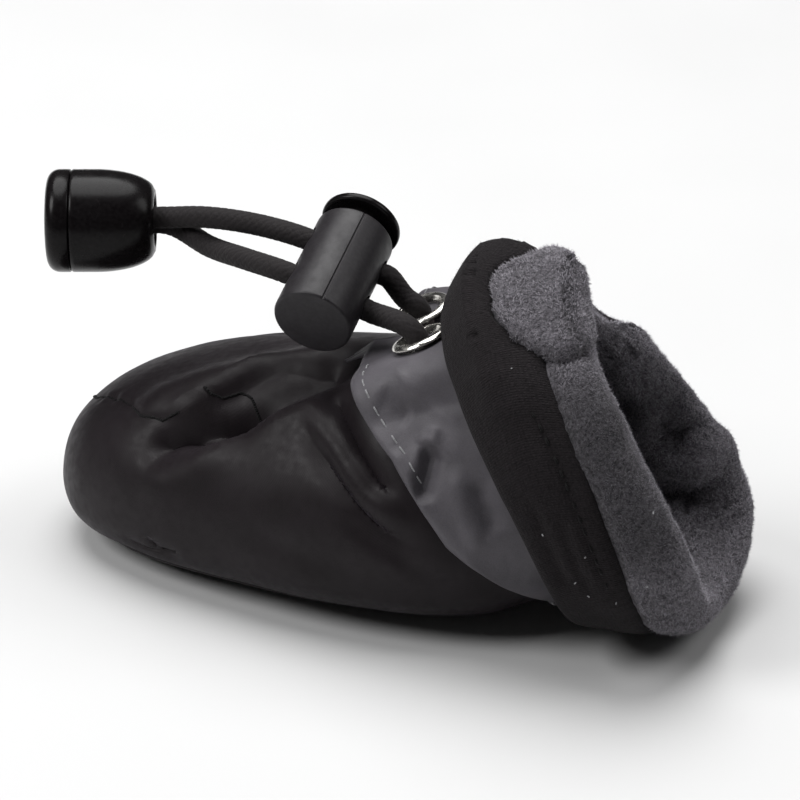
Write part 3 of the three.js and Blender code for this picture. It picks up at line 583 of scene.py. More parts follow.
def nylon_finish():
    made = Finish("nylon", (0.01, 0.0077, 0.0096), 0.5, Sheen_Weight=0.03, Sheen_Roughness=0.4,
                  Specular_IOR_Level=0.16)
    made.shader.inputs["Sheen Tint"].default_value = (0.85, 0.75, 0.95, 1)
    place = made.place()
    weave = made.place(source="Weave")
    soft = made.noise(place, 6.0, 3.0)
    made.color(made.blend(made.ramp(soft, 0.3, 0.7), (0.0085, 0.0062, 0.0072), (0.0125, 0.0095, 0.0112)))
    made.roughen(made.ramp(made.noise(place, 1.2, 3.0), 0.3, 0.7, 0.42, 0.56))
    parts = made.node("SeparateXYZ", {0: weave})
    warp = made.math("SINE", made.math("MULTIPLY", parts.outputs[0], 2 * math.pi / 0.36))
    weft = made.math("SINE", made.math("MULTIPLY", parts.outputs[1], 2 * math.pi / 0.36))
    made.bump(made.ramp(made.math("MULTIPLY", warp, weft), -1, 1), 0.012, 0.6)
    made.bump(made.noise(place, 2.4, 2.0), 0.1, 0.4)
    return made.material


# Places in millimetres round which the fleece and its pile are painted darker: painted shade by the cuff's seam
# and in the mouth's hollow
PAINTED_SHADE_PLACES = [(tuple(offset_point(15.2, math.radians(112), -WALL / 2)), 4.0, 9.0, 0.5),
              (tuple(offset_point(15.1, math.radians(86), -WALL / 2)), 3.0, 9.0, 0.55),
              (tuple(offset_point(12.4, math.radians(238), -WALL / 2)), 2.0, 9.0, 0.75)]


def fleece_finish(name, light, dark, relief=0.35):
    made = Finish(name, light, 1.0, Sheen_Weight=0.12, Sheen_Roughness=0.6, Specular_IOR_Level=0.15)
    place = made.place()
    bent = made.node("VectorMath", {0: place}, operation="ADD")
    curl = made.node("TexNoise", {"Vector": place, "Scale": 1 / 1.1, "Detail": 2.0})
    curl_scaled = made.node("VectorMath", {0: curl.outputs["Color"]}, operation="SCALE")
    curl_scaled.inputs["Scale"].default_value = 1.3
    made.links.new(curl_scaled.outputs["Vector"], bent.inputs[1])
    tufts = made.voronoi(bent.outputs["Vector"], 0.5)
    fine = made.noise(bent.outputs["Vector"], 0.24, 3.0, 0.75)
    broad = made.noise(place, 4.5, 2.0)
    mixed = made.math("ADD", made.math("MULTIPLY", tufts, 0.35), made.math("MULTIPLY", fine, 0.95))
    mixed = made.math("ADD", mixed, made.math("MULTIPLY", broad, 0.25))
    tone = made.blend(made.ramp(mixed, 0.45, 0.95), light, dark)
    # Painted shade: the fleece's colour darkens round each of these places
    for centre, near, far, least in PAINTED_SHADE_PLACES:
        tone = made.shaded(tone, centre, near, far, least)
    made.color(tone)
    made.bump(made.ramp(mixed, 0.4, 1.0, 1.0, 0.0), relief, 1.0)
    return made.material


def knit_finish():
    made = Finish("band_knit", (0.01, 0.009, 0.01), 0.95, Sheen_Weight=0.03, Sheen_Roughness=0.6,
                  Specular_IOR_Level=0.12)
    weave = made.place(source="Weave")
    place = made.place()
    parts = made.node("SeparateXYZ", {0: weave})
    column = made.math("SINE", made.math("MULTIPLY", parts.outputs[0], 2 * math.pi / 0.62))
    lean = made.math("MULTIPLY", made.math("ABSOLUTE", column), 0.35)
    row = made.math("SINE", made.math("MULTIPLY", made.math("ADD", parts.outputs[1], lean), 2 * math.pi / 0.5))
    loops = made.math("MULTIPLY", made.math("ABSOLUTE", column), made.ramp(row, -1, 1, 0.4, 1.0))
    fuzz = made.noise(place, 0.35, 3.0, 0.7)
    height = made.math("ADD", made.math("MULTIPLY", loops, 0.28), made.math("MULTIPLY", fuzz, 1.0))
    made.color(made.blend(made.ramp(height, 0.3, 0.95), (0.003, 0.0023, 0.0026), (0.021, 0.0175, 0.0195)))
    made.bump(height, 0.3, 0.9)
    return made.material


def reflective_finish():
    made = Finish("reflective", (0.05, 0.046, 0.053), 0.6, Specular_IOR_Level=0.35)
    place = made.place()
    grain = made.noise(place, 0.16, 2.0, 0.7)
    smear = made.noise(place, 5.0, 3.0)
    tone = made.math("ADD", made.math("MULTIPLY", grain, 0.45), made.math("MULTIPLY", smear, 0.55))
    made.color(made.blend(made.ramp(tone, 0.3, 0.7), (0.05, 0.046, 0.053), (0.098, 0.091, 0.103)))
    made.roughen(made.ramp(grain, 0.3, 0.7, 0.5, 0.66))
    made.bump(grain, 0.04, 0.7)
    made.bump(made.noise(place, 1.6, 3.0), 0.16, 0.6)
    return made.material


def rib_finish():
    made = Finish("sole_knit", (0.012, 0.011, 0.012), 0.7, Sheen_Weight=0.05, Specular_IOR_Level=0.25)
    place = made.place()
    fuzz = made.noise(place, 0.3, 3.0)
    made.color(made.blend(made.ramp(fuzz, 0.3, 0.7), (0.008, 0.0075, 0.008), (0.022, 0.02, 0.022)))
    made.bump(fuzz, 0.08, 0.7)
    return made.material


def plastic_finish(name, color, roughness, grain=0.02, gloss=0.3):
    made = Finish(name, color, roughness, Specular_IOR_Level=gloss)
    place = made.place()
    speckle = made.noise(place, 0.5, 2.0)
    lighter = tuple(min(1, c * 1.25 + 0.002) for c in color)
    made.color(made.blend(made.ramp(speckle, 0.35, 0.65), color, lighter))
    made.roughen(made.ramp(made.noise(place, 1.5, 3.0), 0.3, 0.7, roughness * 0.85, roughness * 1.2))
    made.bump(made.noise(place, 0.2, 1.0), grain, 0.5)
    return made.material


def nickel_finish():
    made = Finish("nickel", (0.72, 0.7, 0.66), 0.2, Metallic=1.0)
    place = made.place()
    made.roughen(made.ramp(made.noise(place, 0.8, 3.0), 0.3, 0.7, 0.14, 0.32))
    made.color(made.blend(made.ramp(made.noise(place, 2.5, 2.0), 0.3, 0.7), (0.62, 0.6, 0.56), (0.8, 0.78, 0.74)))
    return made.material


def thread_finish(name, color, roughness=0.8, shade_places=()):
    made = Finish(name, color, roughness, Sheen_Weight=0.04, Specular_IOR_Level=0.2)
    place = made.place()
    fuzz = made.noise(place, 0.2, 2.0, 0.7)
    darker = tuple(c * 0.55 for c in color)
    tone = made.blend(made.ramp(fuzz, 0.3, 0.7), darker, color)
    # Painted shade: the colour darkens round each place given, if any
    for centre, near, far, least in shade_places:
        tone = made.shaded(tone, centre, near, far, least)
    made.color(tone)
    made.bump(fuzz, 0.04, 0.8)
    return made.material


def floor_finish():
    made = Finish("floor", (0.66, 0.66, 0.66), 0.7)
    place = made.place()
    made.roughen(made.ramp(made.noise(place, 40.0, 2.0), 0.3, 0.7, 0.6, 0.75))
    return made.material


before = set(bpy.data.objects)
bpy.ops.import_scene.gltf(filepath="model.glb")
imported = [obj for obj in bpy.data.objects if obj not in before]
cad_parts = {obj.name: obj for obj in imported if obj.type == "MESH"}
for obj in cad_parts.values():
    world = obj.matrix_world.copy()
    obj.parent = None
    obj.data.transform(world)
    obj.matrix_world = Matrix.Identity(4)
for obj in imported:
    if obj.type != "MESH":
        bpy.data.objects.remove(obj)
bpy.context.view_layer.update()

NYLON = nylon_finish()
FLEECE = fleece_finish("fleece", (0.26, 0.245, 0.275), (0.035, 0.031, 0.038))
# The pile carries the same painted shade as the fleece
PILE = thread_finish("pile", (0.42, 0.4, 0.44), 1.0, PAINTED_SHADE_PLACES)
KNIT = knit_finish()
REFLECTIVE = reflective_finish()
SOLE_KNIT = rib_finish()
DOT_RUBBER = plastic_finish("dot_rubber", (0.008, 0.008, 0.009), 0.22, 0.01, 0.5)
NICKEL = nickel_finish()
BRAID = thread_finish("cord_braid", (0.02, 0.017, 0.018))
LOCK_PLASTIC = plastic_finish("lock_plastic", (0.014, 0.0122, 0.0142), 0.45)
GLOSS_PLASTIC = plastic_finish("gloss_plastic", (0.004, 0.0032, 0.0036), 0.24, 0.004, 0.12)
STITCH = thread_finish("stitch_thread", (0.3, 0.3, 0.31))
SEAM_THREAD = thread_finish("seam_thread", (0.004, 0.0035, 0.004))
LINT = thread_finish("lint", (0.5, 0.5, 0.52))

# Nylon outside of the bag

NYLON_OUT = WALL / 2
NYLON_IN = 0.25
FLEECE_OUT = -0.1
FLEECE_IN = -WALL / 2
ROUND_COLUMNS = 230


CENTRE_SEAM = [(1.6, 172), (1.95, 162), (2.53, 156), (2.95, 152), (3.24, 148), (3.61, 140), (3.9, 140), (4.1, 145)]
CROSS_SEAM = [(4.3, 154), (4.45, 156), (4.61, 160), (4.78, 158), (4.9, 153)]


def nylon_relief(t, angle, points):
    """Smaller folds of the nylon, in millimetres inwards."""
    depth = crease(points, t, CENTRE_SEAM, 0.45, 0.5, True)
    depth += crease(points, t, CENTRE_SEAM, 1.2, 0.4 * noise(points, 1.3, 5))
    depth += crease(points, t, CROSS_SEAM, 0.4, 0.45, True)
    depth += crease(points, t, [(3.2, 58), (3.9, 50), (4.9, 44)], 1.1, 0.3)
    depth += crease(points, t, [(5.2, 96), (6.2, 88), (7.2, 76), (8.2, 66)], 1.8, 0.35)
    depth += crease(points, t, [(6.6, 108), (7.2, 92), (7.8, 78), (8.6, 66)], 1.0, 0.4)
    depth += crease(points, t, [(2.6, 222), (3.6, 214), (4.8, 204), (6.0, 196)], 1.6, 0.4)
    depth += crease(points, t, [(5.4, 268), (6.2, 250), (6.9, 232), (7.2, 214)], 1.1, -0.5)
    depth += crease(points, t, [(5.8, 272), (6.6, 254), (7.2, 238)], 1.2, 0.5)
    depth += crease(points, t, [(9.9, 262), (10.4, 240), (10.8, 215), (11.0, 190)], 1.4, 0.4)
    depth += crease(points, t, [(10.8, 100), (11.2, 80), (11.8, 60)], 1.4, 0.4)
    depth += 0.16 * noise(points, 9.0, 3) + 0.05 * noise(points, 3.5, 4)
    return depth


DIVE_END = 15.95  # the layers end inside the band
nylon_rows = np.concatenate([
    np.array([0.04, 0.1, 0.18, 0.28]), even_sections(0.4, DIVE_END, 0.55)])
nylon_back = even_sections(0.4, DIVE_END, 1.7)[::-1]
nylon_out = NYLON_OUT - 0.7 * smoothstep(nylon_rows, 15.45, 15.85)


def shell_grid(rows, amounts, columns, relief=None):
    angles = even_angles(rows, columns)
    t = np.broadcast_to(rows[:, None], angles.shape)
    normal = normal_of(bag_point, t, angles)
    points = bag_point(t, angles)
    amount = np.broadcast_to(np.asarray(amounts, float).reshape(-1, 1), angles.shape)
    if relief is not None:
        amount = amount - relief(t, angles, points)
    return points + normal * amount[..., None], normal, t, angles


TIP = (smooth_point(0.0, 0.0) + smooth_point(0.0, math.pi)) / 2


def capped_shell(name, rows, outer, back_rows, inner, relief, material, **options):
    """A closed bag: a fine outer layer from the toe to the free edge and a coarser inner one."""
    out, normal, t, angles = shell_grid(rows, outer, ROUND_COLUMNS, relief)
    back = shell_grid(back_rows, np.full(len(back_rows), inner), ROUND_COLUMNS)[0]
    points = np.concatenate([out, back])
    count = len(points)
    faces = [grid_faces(count, ROUND_COLUMNS, False, True)]
    weave = grid_weave(points, False, True)
    vertices = points.reshape(-1, 3)
    tips = np.array([TIP + (outer[0], 0, 0), TIP + (inner, 0, 0)])
    vertices = np.concatenate([vertices, tips])
    j = np.arange(ROUND_COLUMNS)
    k = (j + 1) % ROUND_COLUMNS
    first, last = len(vertices) - 2, (count - 1) * ROUND_COLUMNS
    faces.append(np.stack([np.full(len(j), first), j, k], 1))
    faces.append(np.stack([np.full(len(j), first + 1), last + k, last + j], 1))
    if outer[0] < inner:
        faces = [f[:, ::-1] for f in faces]
        weave = weave[:, ::-1]
    made = make(name, vertices, faces, material, weave=weave, **options)
    return made, out, normal, t, angles


nylon_shell = capped_shell("nylon_shell", nylon_rows, nylon_out, nylon_back, NYLON_IN,
                           nylon_relief, NYLON, slot="nylon", stands_for=["upper"])[0]
seam_lines = []
for path in (CENTRE_SEAM, CROSS_SEAM):
    steps = np.linspace(0, len(path) - 1, 40 * (len(path) - 1))
    path = np.array(path)
    at = np.stack([np.interp(steps, np.arange(len(path)), path[:, k]) for k in (0, 1)])
    line_t, line_a = at[0], np.radians(at[1])
    line = bag_point(line_t, line_a)
    out = NYLON_OUT - nylon_relief(line_t, line_a, line)
    line = line + normal_of(bag_point, line_t, line_a) * out[:, None]
    wobble = 0.1 * np.sin(np.arange(len(line)) * 1.9)[:, None] * unit(np.gradient(line, axis=0))[:, [1, 2, 0]]
    seam_lines.append(tube(line + wobble, 0.17, 6))
make("toe_seam", *joined(seam_lines), SEAM_THREAD, slot="nylon")


# Fleece inside of the bag, turned out over the ankle as the cuff

LOBE_LOW = ([13.6, 14.3, 14.9, 15.3, 15.7, 16.2, 16.6], [152, 140, 135, 132, 134, 137, 143])


def seam_shift(angle):
    """How many sections the seam lies further out where the fleece laps over the band."""
    degrees = np.degrees(angle)
    return 1.2 * smoothstep(degrees, 133, 146) * (1 - smoothstep(degrees, 158, 176))


def lobe(t, angle):
    """1 on the fleece lobe that stands proud by the seam, 0 elsewhere."""
    degrees = np.degrees(angle)
    low = np.interp(t, *LOBE_LOW)
    across = smoothstep(degrees, low, low + 5) * (1 - smoothstep(degrees, 172, 186))
    seam = SEAM_SECTION + seam_shift(angle)
    return across * smoothstep(t, 13.7, 14.3) * (1 - smoothstep(t, seam - 0.25, seam + 0.05))


def fleece_relief(t, angle, points):
    """The fleece's tufts and soft folds; positive here stands into the room or off the cuff."""
    shown = smoothstep(t, 8.5, 9.5)
    tufts = 0.15 * noise(points, 0.95, 7) + 0.12 * noise(points, 0.5, 8)
    depth = shown * (tufts + 0.25 * noise(points, 5.0, 9))
    depth += 1.1 * lobe(t, angle)
    ribs = np.sin(2 * math.pi * (points @ unit((0.35, 0.35, 0.9))) / 1.5)
    depth += 0.16 * ribs * smoothstep(t, 10.8, 11.6) * (1 - smoothstep(t, 13.0, 13.6)) * (
        smoothstep(np.degrees(angle), 262, 300))
    seam = SEAM_SECTION + seam_shift(angle)
    depth -= 0.9 * smoothstep(t, seam - 0.12, seam + 0.3)
    return depth


FLEECE_END = 16.95
fleece_rows = np.concatenate([even_sections(0.3, 8.8, 1.6), even_sections(8.9, FLEECE_END, 0.42)])
fleece_back = even_sections(0.3, FLEECE_END, 1.7)[::-1]
fleece_lining, fleece_grid, fleece_normal, fleece_t, fleece_a = capped_shell(
    "fleece_lining", fleece_rows, np.full(len(fleece_rows), FLEECE_IN), fleece_back, FLEECE_OUT,
    fleece_relief, FLEECE, slot="lining")


def fibres(name, grid, normals, weights, count, length, width, seed, material, **options):
    """Short seeded fibres that lean along a grid's surface, each a closed spike."""
    rng = np.random.default_rng(seed)
    rows, columns = grid.shape[:2]
    chances = weights.ravel() / weights.sum()
    cells = rng.choice(len(chances), count, p=chances)
    i, j = np.divmod(cells, columns)
    f, g = rng.random((2, count, 1))
    i1, j1 = np.minimum(i + 1, rows - 1), (j + 1) % columns
    root = (grid[i, j] * (1 - f) * (1 - g) + grid[i1, j] * f * (1 - g)
            + grid[i, j1] * (1 - f) * g + grid[i1, j1] * f * g)
    out = unit(normals[i, j])
    drift = np.stack([noise(root, 1.6, seed + k) for k in (1, 2, 3)], -1)
    lean = unit(np.cross(out, rng.normal(size=(count, 3)) + 1.5 * drift))
    way = unit(out * rng.uniform(0.35, 0.95, (count, 1)) + lean * rng.uniform(0.3, 1.1, (count, 1)))
    side = unit(np.cross(way, out + 0.01))
    other = np.cross(way, side)
    reach = length * rng.uniform(0.55, 1.25, (count, 1))
    thick = width * rng.uniform(0.7, 1.2, (count, 1))
    root = root - out * 0.15
    verts = np.stack([
        root + side * thick,
        root - side * thick * 0.5 + other * thick * 0.87,
        root - side * thick * 0.5 - other * thick * 0.87,
        root + way * reach,
    ], 1)
    base = np.arange(count)[:, None] * 4
    corners = np.array([[0, 1, 3], [1, 2, 3], [2, 0, 3], [0, 2, 1]])
    faces = (base[:, :, None] + corners[None]).reshape(-1, 3)
    return make(name, verts.reshape(-1, 3), [faces], material, **options)


def cell_areas(grid, mask):
    """Area of each grid cell where the mask is set."""
    along = np.zeros(grid.shape[:2])
    along[:-1] = np.linalg.norm(np.diff(grid, axis=0), axis=-1)
    round_it = np.linalg.norm(np.roll(grid, -1, axis=1) - grid, axis=-1)
    return along * round_it * mask


seam_line = SEAM_SECTION + seam_shift(fleece_a)
cuff_weights = cell_areas(fleece_grid, (fleece_t > 12.6) & (fleece_t < seam_line - 0.05))
mouth_weights = cell_areas(fleece_grid, (fleece_t > 9.6) & (fleece_t <= 12.6))
fibres("cuff_fibres", fleece_grid, -fleece_normal, cuff_weights, 42000, 0.6, 0.055, 11, PILE,
       slot="lining")
fibres("mouth_fibres", fleece_grid, -fleece_normal, mouth_weights, 22000, 0.65, 0.055, 12, PILE,
       slot="lining")

# Knit band sewn to the cuff

def band_relief(t, angle, points, visible):
    """Gathers by the seam and soft pleats along the band; positive stands proud."""
    run = np.cumsum(np.linalg.norm(points - np.roll(points, 1, axis=1), axis=-1), axis=1)
    gather = np.cos(2 * math.pi * run / 1.25) + 0.5 * noise(points, 1.4, 21)
    seam = SEAM_SECTION + seam_shift(angle)
    near_seam = 1 - smoothstep(t, seam + 0.1, seam + 1.1)
    lift = (0.06 + 0.12 * seam_shift(angle)) * gather * near_seam * visible
    lift += 0.1 * noise(points, 2.6, 22) * visible + 0.16 * noise(points, 6.5, 23) * visible
    lift -= visible * crease(points, t, BAND_STITCH_LINE, 0.5, 0.35)
    lift -= visible * crease(points, t, [(16.7, 92), (16.9, 80), (16.85, 68), (16.7, 58)], 0.7, 0.3)
    lift -= visible * crease(points, t, [(17.7, 96), (17.9, 84), (17.9, 72), (17.8, 60)], 0.8, 0.35)
    lift += visible * crease(points, t, [(17.2, 176), (17.5, 150), (17.7, 126), (17.8, 106)], 1.6, 0.3)
    return lift


BAND_STITCH_LINE = [(16.5, 122), (16.3, 114), (16.2, 106), (16.17, 98), (16.16, 88), (16.15, 78), (16.1, 66),
                    (16.1, 54)]


BAND_OUT = BAND_WALL - WALL / 2 - BAND_PROUD
BAND_IN = -WALL / 2 - BAND_PROUD
BAND_MIDDLE = (BAND_OUT + BAND_IN) / 2
SECTION_STEP = 3.5

rows = even_sections(SEAM_SECTION + 0.5, EDGE_SECTION - 0.42, 0.42)
turn = np.linspace(0, math.pi, 9)[1:-1]
edge_t = EDGE_SECTION - 0.42 + 0.42 * np.sin(turn)
edge_offset = BAND_MIDDLE + (BAND_IN - BAND_MIDDLE) * np.cos(turn)
seam_t = SEAM_SECTION + 0.5 - 0.42 * np.sin(turn)
seam_offset = BAND_MIDDLE - (BAND_IN - BAND_MIDDLE) * np.cos(turn)
back_rows = even_sections(SEAM_SECTION + 0.5, EDGE_SECTION - 0.42, 1.2)[::-1]
band_t = np.concatenate([rows, edge_t, back_rows, seam_t])
band_amount = np.concatenate([
    np.full(len(rows), BAND_IN), edge_offset, np.full(len(back_rows), BAND_OUT), seam_offset])
band_shown = np.concatenate([
    np.ones(len(rows)), np.cos(turn) * 0.5 + 0.5, np.zeros(len(back_rows)), 0.5 - 0.5 * np.cos(turn)])
BAND_COLUMNS = 300
angles = even_angles(band_t, BAND_COLUMNS)
t = np.broadcast_to(band_t[:, None], angles.shape)
remaining = (EDGE_SECTION - t) / (EDGE_SECTION - SEAM_SECTION)
t = t + seam_shift(angles) * np.clip(remaining, 0, 1) * (band_shown[:, None] > 0)
normal = normal_of(bag_point, t, angles)
points = bag_point(t, angles)
lift = band_relief(t, angles, points, band_shown[:, None])
band_points = points + normal * (band_amount[:, None] - lift)[..., None]
make("collar_knit_band", band_points.reshape(-1, 3),
     [grid_faces(len(band_t), BAND_COLUMNS, True, True)[:, ::-1]], KNIT, slot="band",
     stands_for=["collar_band"], weave=grid_weave(band_points, True, True)[:, ::-1])
shown = len(rows)
band_normal = -normal[:shown]
fibres("band_fuzz", band_points[:shown], band_normal,
       cell_areas(band_points[:shown], np.arange(shown)[:, None] < shown - 1), 9000, 0.4, 0.035, 13, KNIT,
       slot="band")

band_angles = np.radians(np.linspace(52, 124, 160))
stitch_path = np.array(BAND_STITCH_LINE)[::-1]
band_line = np.interp(np.degrees(band_angles), stitch_path[:, 1], stitch_path[:, 0])
band_line_normal = -normal_of(middle_point, band_line, band_angles)
band_line_points = offset_point(band_line, band_angles, np.full(160, BAND_IN + 0.22))

# Strap round the ankle

STRAP_OFFSET = WALL / 2 + STRAP_GAP


def tab_lift(t, angle):
    lift = np.zeros(np.shape(angle))
    point = offset_point(t, angle, np.full(np.shape(angle), STRAP_OFFSET + STRAP_THICKNESS))
    normal = normal_of(middle_point, t, angle)
    degrees = np.degrees(np.abs(angle))
    for tab, side in ((NEAR_TAB, angle > 0), (FAR_TAB, angle <= 0)):
        way = unit(tab["way"])
        away = (np.array(tab["place"]) - point) @ way / (normal @ way)
        share = smoothstep(degrees, tab["from"], tab["to"])
        lift = np.where(side & (share > 0), share * np.maximum(away, 0), lift)
    return lift


def strap_place(share, angle):
    """The section at a share across the strap."""
    degrees = np.degrees(angle)
    front = np.interp(degrees, STRAP_DEGREES, STRAP_FRONT)
    back = np.interp(degrees, STRAP_DEGREES, STRAP_BACK)
    return front + (back - front) * share


def strap_point(share, angle, height):
    """A point at a share across the strap, that many millimetres above its underside."""
    share, angle, height = np.broadcast_arrays(share, angle, height)
    t = strap_place(share, angle)
    return offset_point(t, angle, STRAP_OFFSET + height + tab_lift(t, angle))


def strap_relief(t, points):
    depth = crease(points, t, [(9.28, 121), (9.1, 118), (8.83, 113), (8.49, 107), (8.31, 102)], 1.2, 1.3)
    depth += crease(points, t, [(9.45, 127), (9.3, 123), (9.1, 120)], 0.8, -0.4)
    depth += crease(points, t, [(8.9, 122), (8.65, 117), (8.4, 111)], 0.8, -0.35)
    depth += crease(points, t, [(8.11, 124), (8.25, 118), (8.31, 112), (8.2, 104)], 0.8, -0.5)
    depth += crease(points, t, [(8.34, 150), (9.01, 145), (9.36, 137), (9.72, 130), (10.02, 124)], 0.8, -0.35)
    depth += crease(points, t, [(8.05, 142), (8.47, 138), (8.91, 132)], 1.3, 0.5)
    depth += crease(points, t, [(9.45, 113), (9.34, 106), (9.1, 95), (9.04, 82)], 1.5, -0.5)
    depth += crease(points, t, [(9.75, 106), (9.69, 98), (9.57, 90), (9.53, 86)], 1.3, 0.6)
    depth += crease(points, t, [(8.17, 100), (8.2, 94), (8.34, 88), (8.5, 80)], 0.9, 0.6)
    depth += crease(points, t, [(8.0, 250), (8.6, 246), (9.4, 242)], 1.5, 0.5)
    depth += crease(points, t, [(8.0, 226), (8.5, 224), (9.3, 222)], 1.2, 0.4)
    depth += 0.12 * noise(points, 4.0, 31) + 0.05 * noise(points, 1.6, 32)
    return depth


STRAP_COLUMNS = 420
STRAP_SINK = 1.3  # the deepest a fold may go
STRAP_ACROSS = 40
start, end = math.radians(-STRAP_END), math.radians(STRAP_END)
fine = np.linspace(start, end, 800)
middle_line = smooth_point(strap_place(np.full(800, 0.5), fine), fine)
run = np.concatenate([[0], np.cumsum(np.linalg.norm(np.diff(middle_line, axis=0), axis=-1))])
strap_angles = np.interp(np.linspace(0, run[-1], STRAP_COLUMNS), run, fine)
EDGE_SHARE = 0.055
across = np.linspace(EDGE_SHARE, 1 - EDGE_SHARE, STRAP_ACROSS)
turn = np.linspace(0, math.pi, 8)[1:-1]
shares = np.concatenate([
    across, 1 - EDGE_SHARE + EDGE_SHARE * np.sin(turn),
    across[::-4], EDGE_SHARE - EDGE_SHARE * np.sin(turn)])
half = STRAP_THICKNESS / 2
heights = np.concatenate([
    np.full(len(across), 2 * half), half + half * np.cos(turn),
    np.zeros(len(across[::-4])), half - half * np.cos(turn)])
upper_face = np.concatenate([
    np.ones(len(across)), 0.5 + 0.5 * np.cos(turn), np.zeros(len(across[::-4])), 0.5 - 0.5 * np.cos(turn)])
share_grid, angle_grid = np.meshgrid(shares, strap_angles, indexing="ij")
strap_t = strap_place(share_grid, angle_grid)
strap_points = strap_point(share_grid, angle_grid, np.broadcast_to(heights[:, None], share_grid.shape))
strap_normal = normal_of(middle_point, strap_t, angle_grid)
dent = strap_relief(strap_t, middle_point(strap_t, angle_grid)) * upper_face[:, None]
strap_points = strap_points - strap_normal * np.minimum(dent, STRAP_SINK)[..., None]
faces = [grid_faces(len(shares), STRAP_COLUMNS, True, False)]
ends = np.arange(len(shares)) * STRAP_COLUMNS
faces.append(ends[None, :])
faces.append((ends + STRAP_COLUMNS - 1)[None, ::-1])
make("strap_web", strap_points.reshape(-1, 3), faces, REFLECTIVE, slot="reflective",
     stands_for=["ankle_strap"], weave=grid_weave(strap_points, True, False))


def stitches(name, path, normals, length, gap, thickness, material, slot):
    """A row of separate stitches, each a short thread that dips into the cloth at its ends."""
    path, normals = np.asarray(path), np.asarray(normals)
    run = np.concatenate([[0], np.cumsum(np.linalg.norm(np.diff(path, axis=0), axis=-1))])
    parts = []
    for begin in np.arange(gap, run[-1] - length, length + gap):
        at = np.linspace(begin, begin + length, 7) + 0.25 * gap * math.sin(7.3 * begin)
        centre = np.stack([np.interp(at, run, path[:, k]) for k in range(3)], 1)
        up = unit(np.stack([np.interp(at, run, normals[:, k]) for k in range(3)], 1))
        arch = np.sin(np.linspace(0, math.pi, 7)) ** 0.6
        centre = centre + up * (arch * thickness * 0.9 - thickness * 0.5)[:, None]
        parts.append(tube(centre, thickness / 2, 6))
    return make(name, *joined(parts), material, slot=slot)


def strap_line(share, low, high, count=300):
    angle = np.radians(np.linspace(low, high, count))
    share = np.full(count, share)
    t = strap_place(share, angle)
    normal = normal_of(middle_point, t, angle)
    dent = np.minimum(strap_relief(t, middle_point(t, angle)), STRAP_SINK)
    return strap_point(share, angle, np.full(count, STRAP_THICKNESS)) - normal * dent[:, None], normal


stitches("strap_front_stitches", *strap_line(0.15, 107, 162), 1.3, 0.9, 0.24, STITCH, "reflective")
stitches("strap_round_stitches", *strap_line(0.15, -172, 45, 600), 1.3, 0.9, 0.24, STITCH, "reflective")

stitches("band_stitches", band_line_points, band_line_normal, 0.9, 1.1, 0.3, SEAM_THREAD, "band")
LINT_PLACES = [(16.4, 76), (16.9, 60), (17.3, 66), (16.0, 58), (15.2, 66), (17.9, 84), (14.6, 90), (16.6, 128)]
lint_parts = []
for number, (t, degrees) in enumerate(LINT_PLACES):
    spot = offset_point(np.array([t]), np.radians([degrees]), np.array([BAND_IN - 0.12]))[0]
    way = unit((math.sin(number * 2.1), math.cos(number * 1.3), math.sin(number * 0.7)))
    lint_parts.append(tube(np.array([spot - way * 0.16, spot, spot + way * 0.16]), 0.08, 6))
make("lint_specks", *joined(lint_parts), LINT, slot="band")

# Grommets


def grommet(name, tab, node):
    bore, rim = GROMMET_BORE / 2, GROMMET_DIAMETER / 2
    low, high = 0.4, 1.1
    corners = [
        (bore, -STRAP_THICKNESS), (bore + 0.5, -STRAP_THICKNESS), (bore + 0.5, low),
        (rim - 0.25, low - 0.05), (rim, low + 0.2), (rim - 0.4, high - 0.05), (rim - 1.0, high),
        (bore + 0.35, high - 0.25), (bore, low), (bore, -STRAP_THICKNESS)]
    profile = rounded(corners, 0.3)[:-1]
    vertices, faces = lathe(profile, tab["place"], tab["way"], 64)
    return make(name, vertices, faces, NICKEL, slot="nickel", stands_for=[node])


grommet("eyelet_near", NEAR_TAB, "grommet_near")
grommet("eyelet_far", FAR_TAB, "grommet_far")

# Cord lock

BUTTON = unit(BUTTON_WAY)
CORD = unit(CORD_WAY)
LOCK = np.array(LOCK_MIDDLE)


def bored(vertices, faces, cutters):
    """A mesh with others cut out of it, worked at a thousand times its size."""
    def plain(points, groups):
        mesh = bpy.data.meshes.new("work")
        mesh.from_pydata([tuple(p) for p in points], [], [tuple(int(i) for i in f) for g in groups for f in g])
        made = bpy.data.objects.new("work", mesh)
        bpy.context.scene.collection.objects.link(made)
        return made
    body = plain(vertices, faces)
    others = [plain(*c) for c in cutters]
    for other in others:
        cut = body.modifiers.new("cut", "BOOLEAN")
        cut.operation, cut.object, cut.solver = "DIFFERENCE", other, "EXACT"
    bpy.context.view_layer.update()
    evaluated = body.evaluated_get(bpy.context.evaluated_depsgraph_get())
    mesh = evaluated.to_mesh()
    points = np.array([v.co[:] for v in mesh.vertices])
    polygons = [list(p.vertices) for p in mesh.polygons]
    evaluated.to_mesh_clear()
    for made in [body, *others]:
        bpy.data.objects.remove(made)
    return points, polygons


def make_hard(name, points, polygons, material, body, slot, stands_for, crease_degrees=35):
    """A hard piece whose sharp edges stay sharp."""
    mesh = bpy.data.meshes.new(name)
    mesh.from_pydata([tuple(p) for p in np.asarray(points) * MM], [], polygons)
    mesh.validate()
    mesh.materials.append(material)
    made = bpy.data.objects.new(name, mesh)
    bpy.context.scene.collection.objects.link(made)
    for polygon in mesh.polygons:
        polygon.use_smooth = True
    mesh.set_sharp_from_angle(angle=math.radians(crease_degrees))
    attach(made, body)
    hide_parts(*stands_for)
    return made


def cylinder(place, way, radius, length, segments=40):
    profile = [(0, -length / 2), (radius, -length / 2), (radius, length / 2), (0, length / 2)]
    return lathe(profile, place, way, segments)


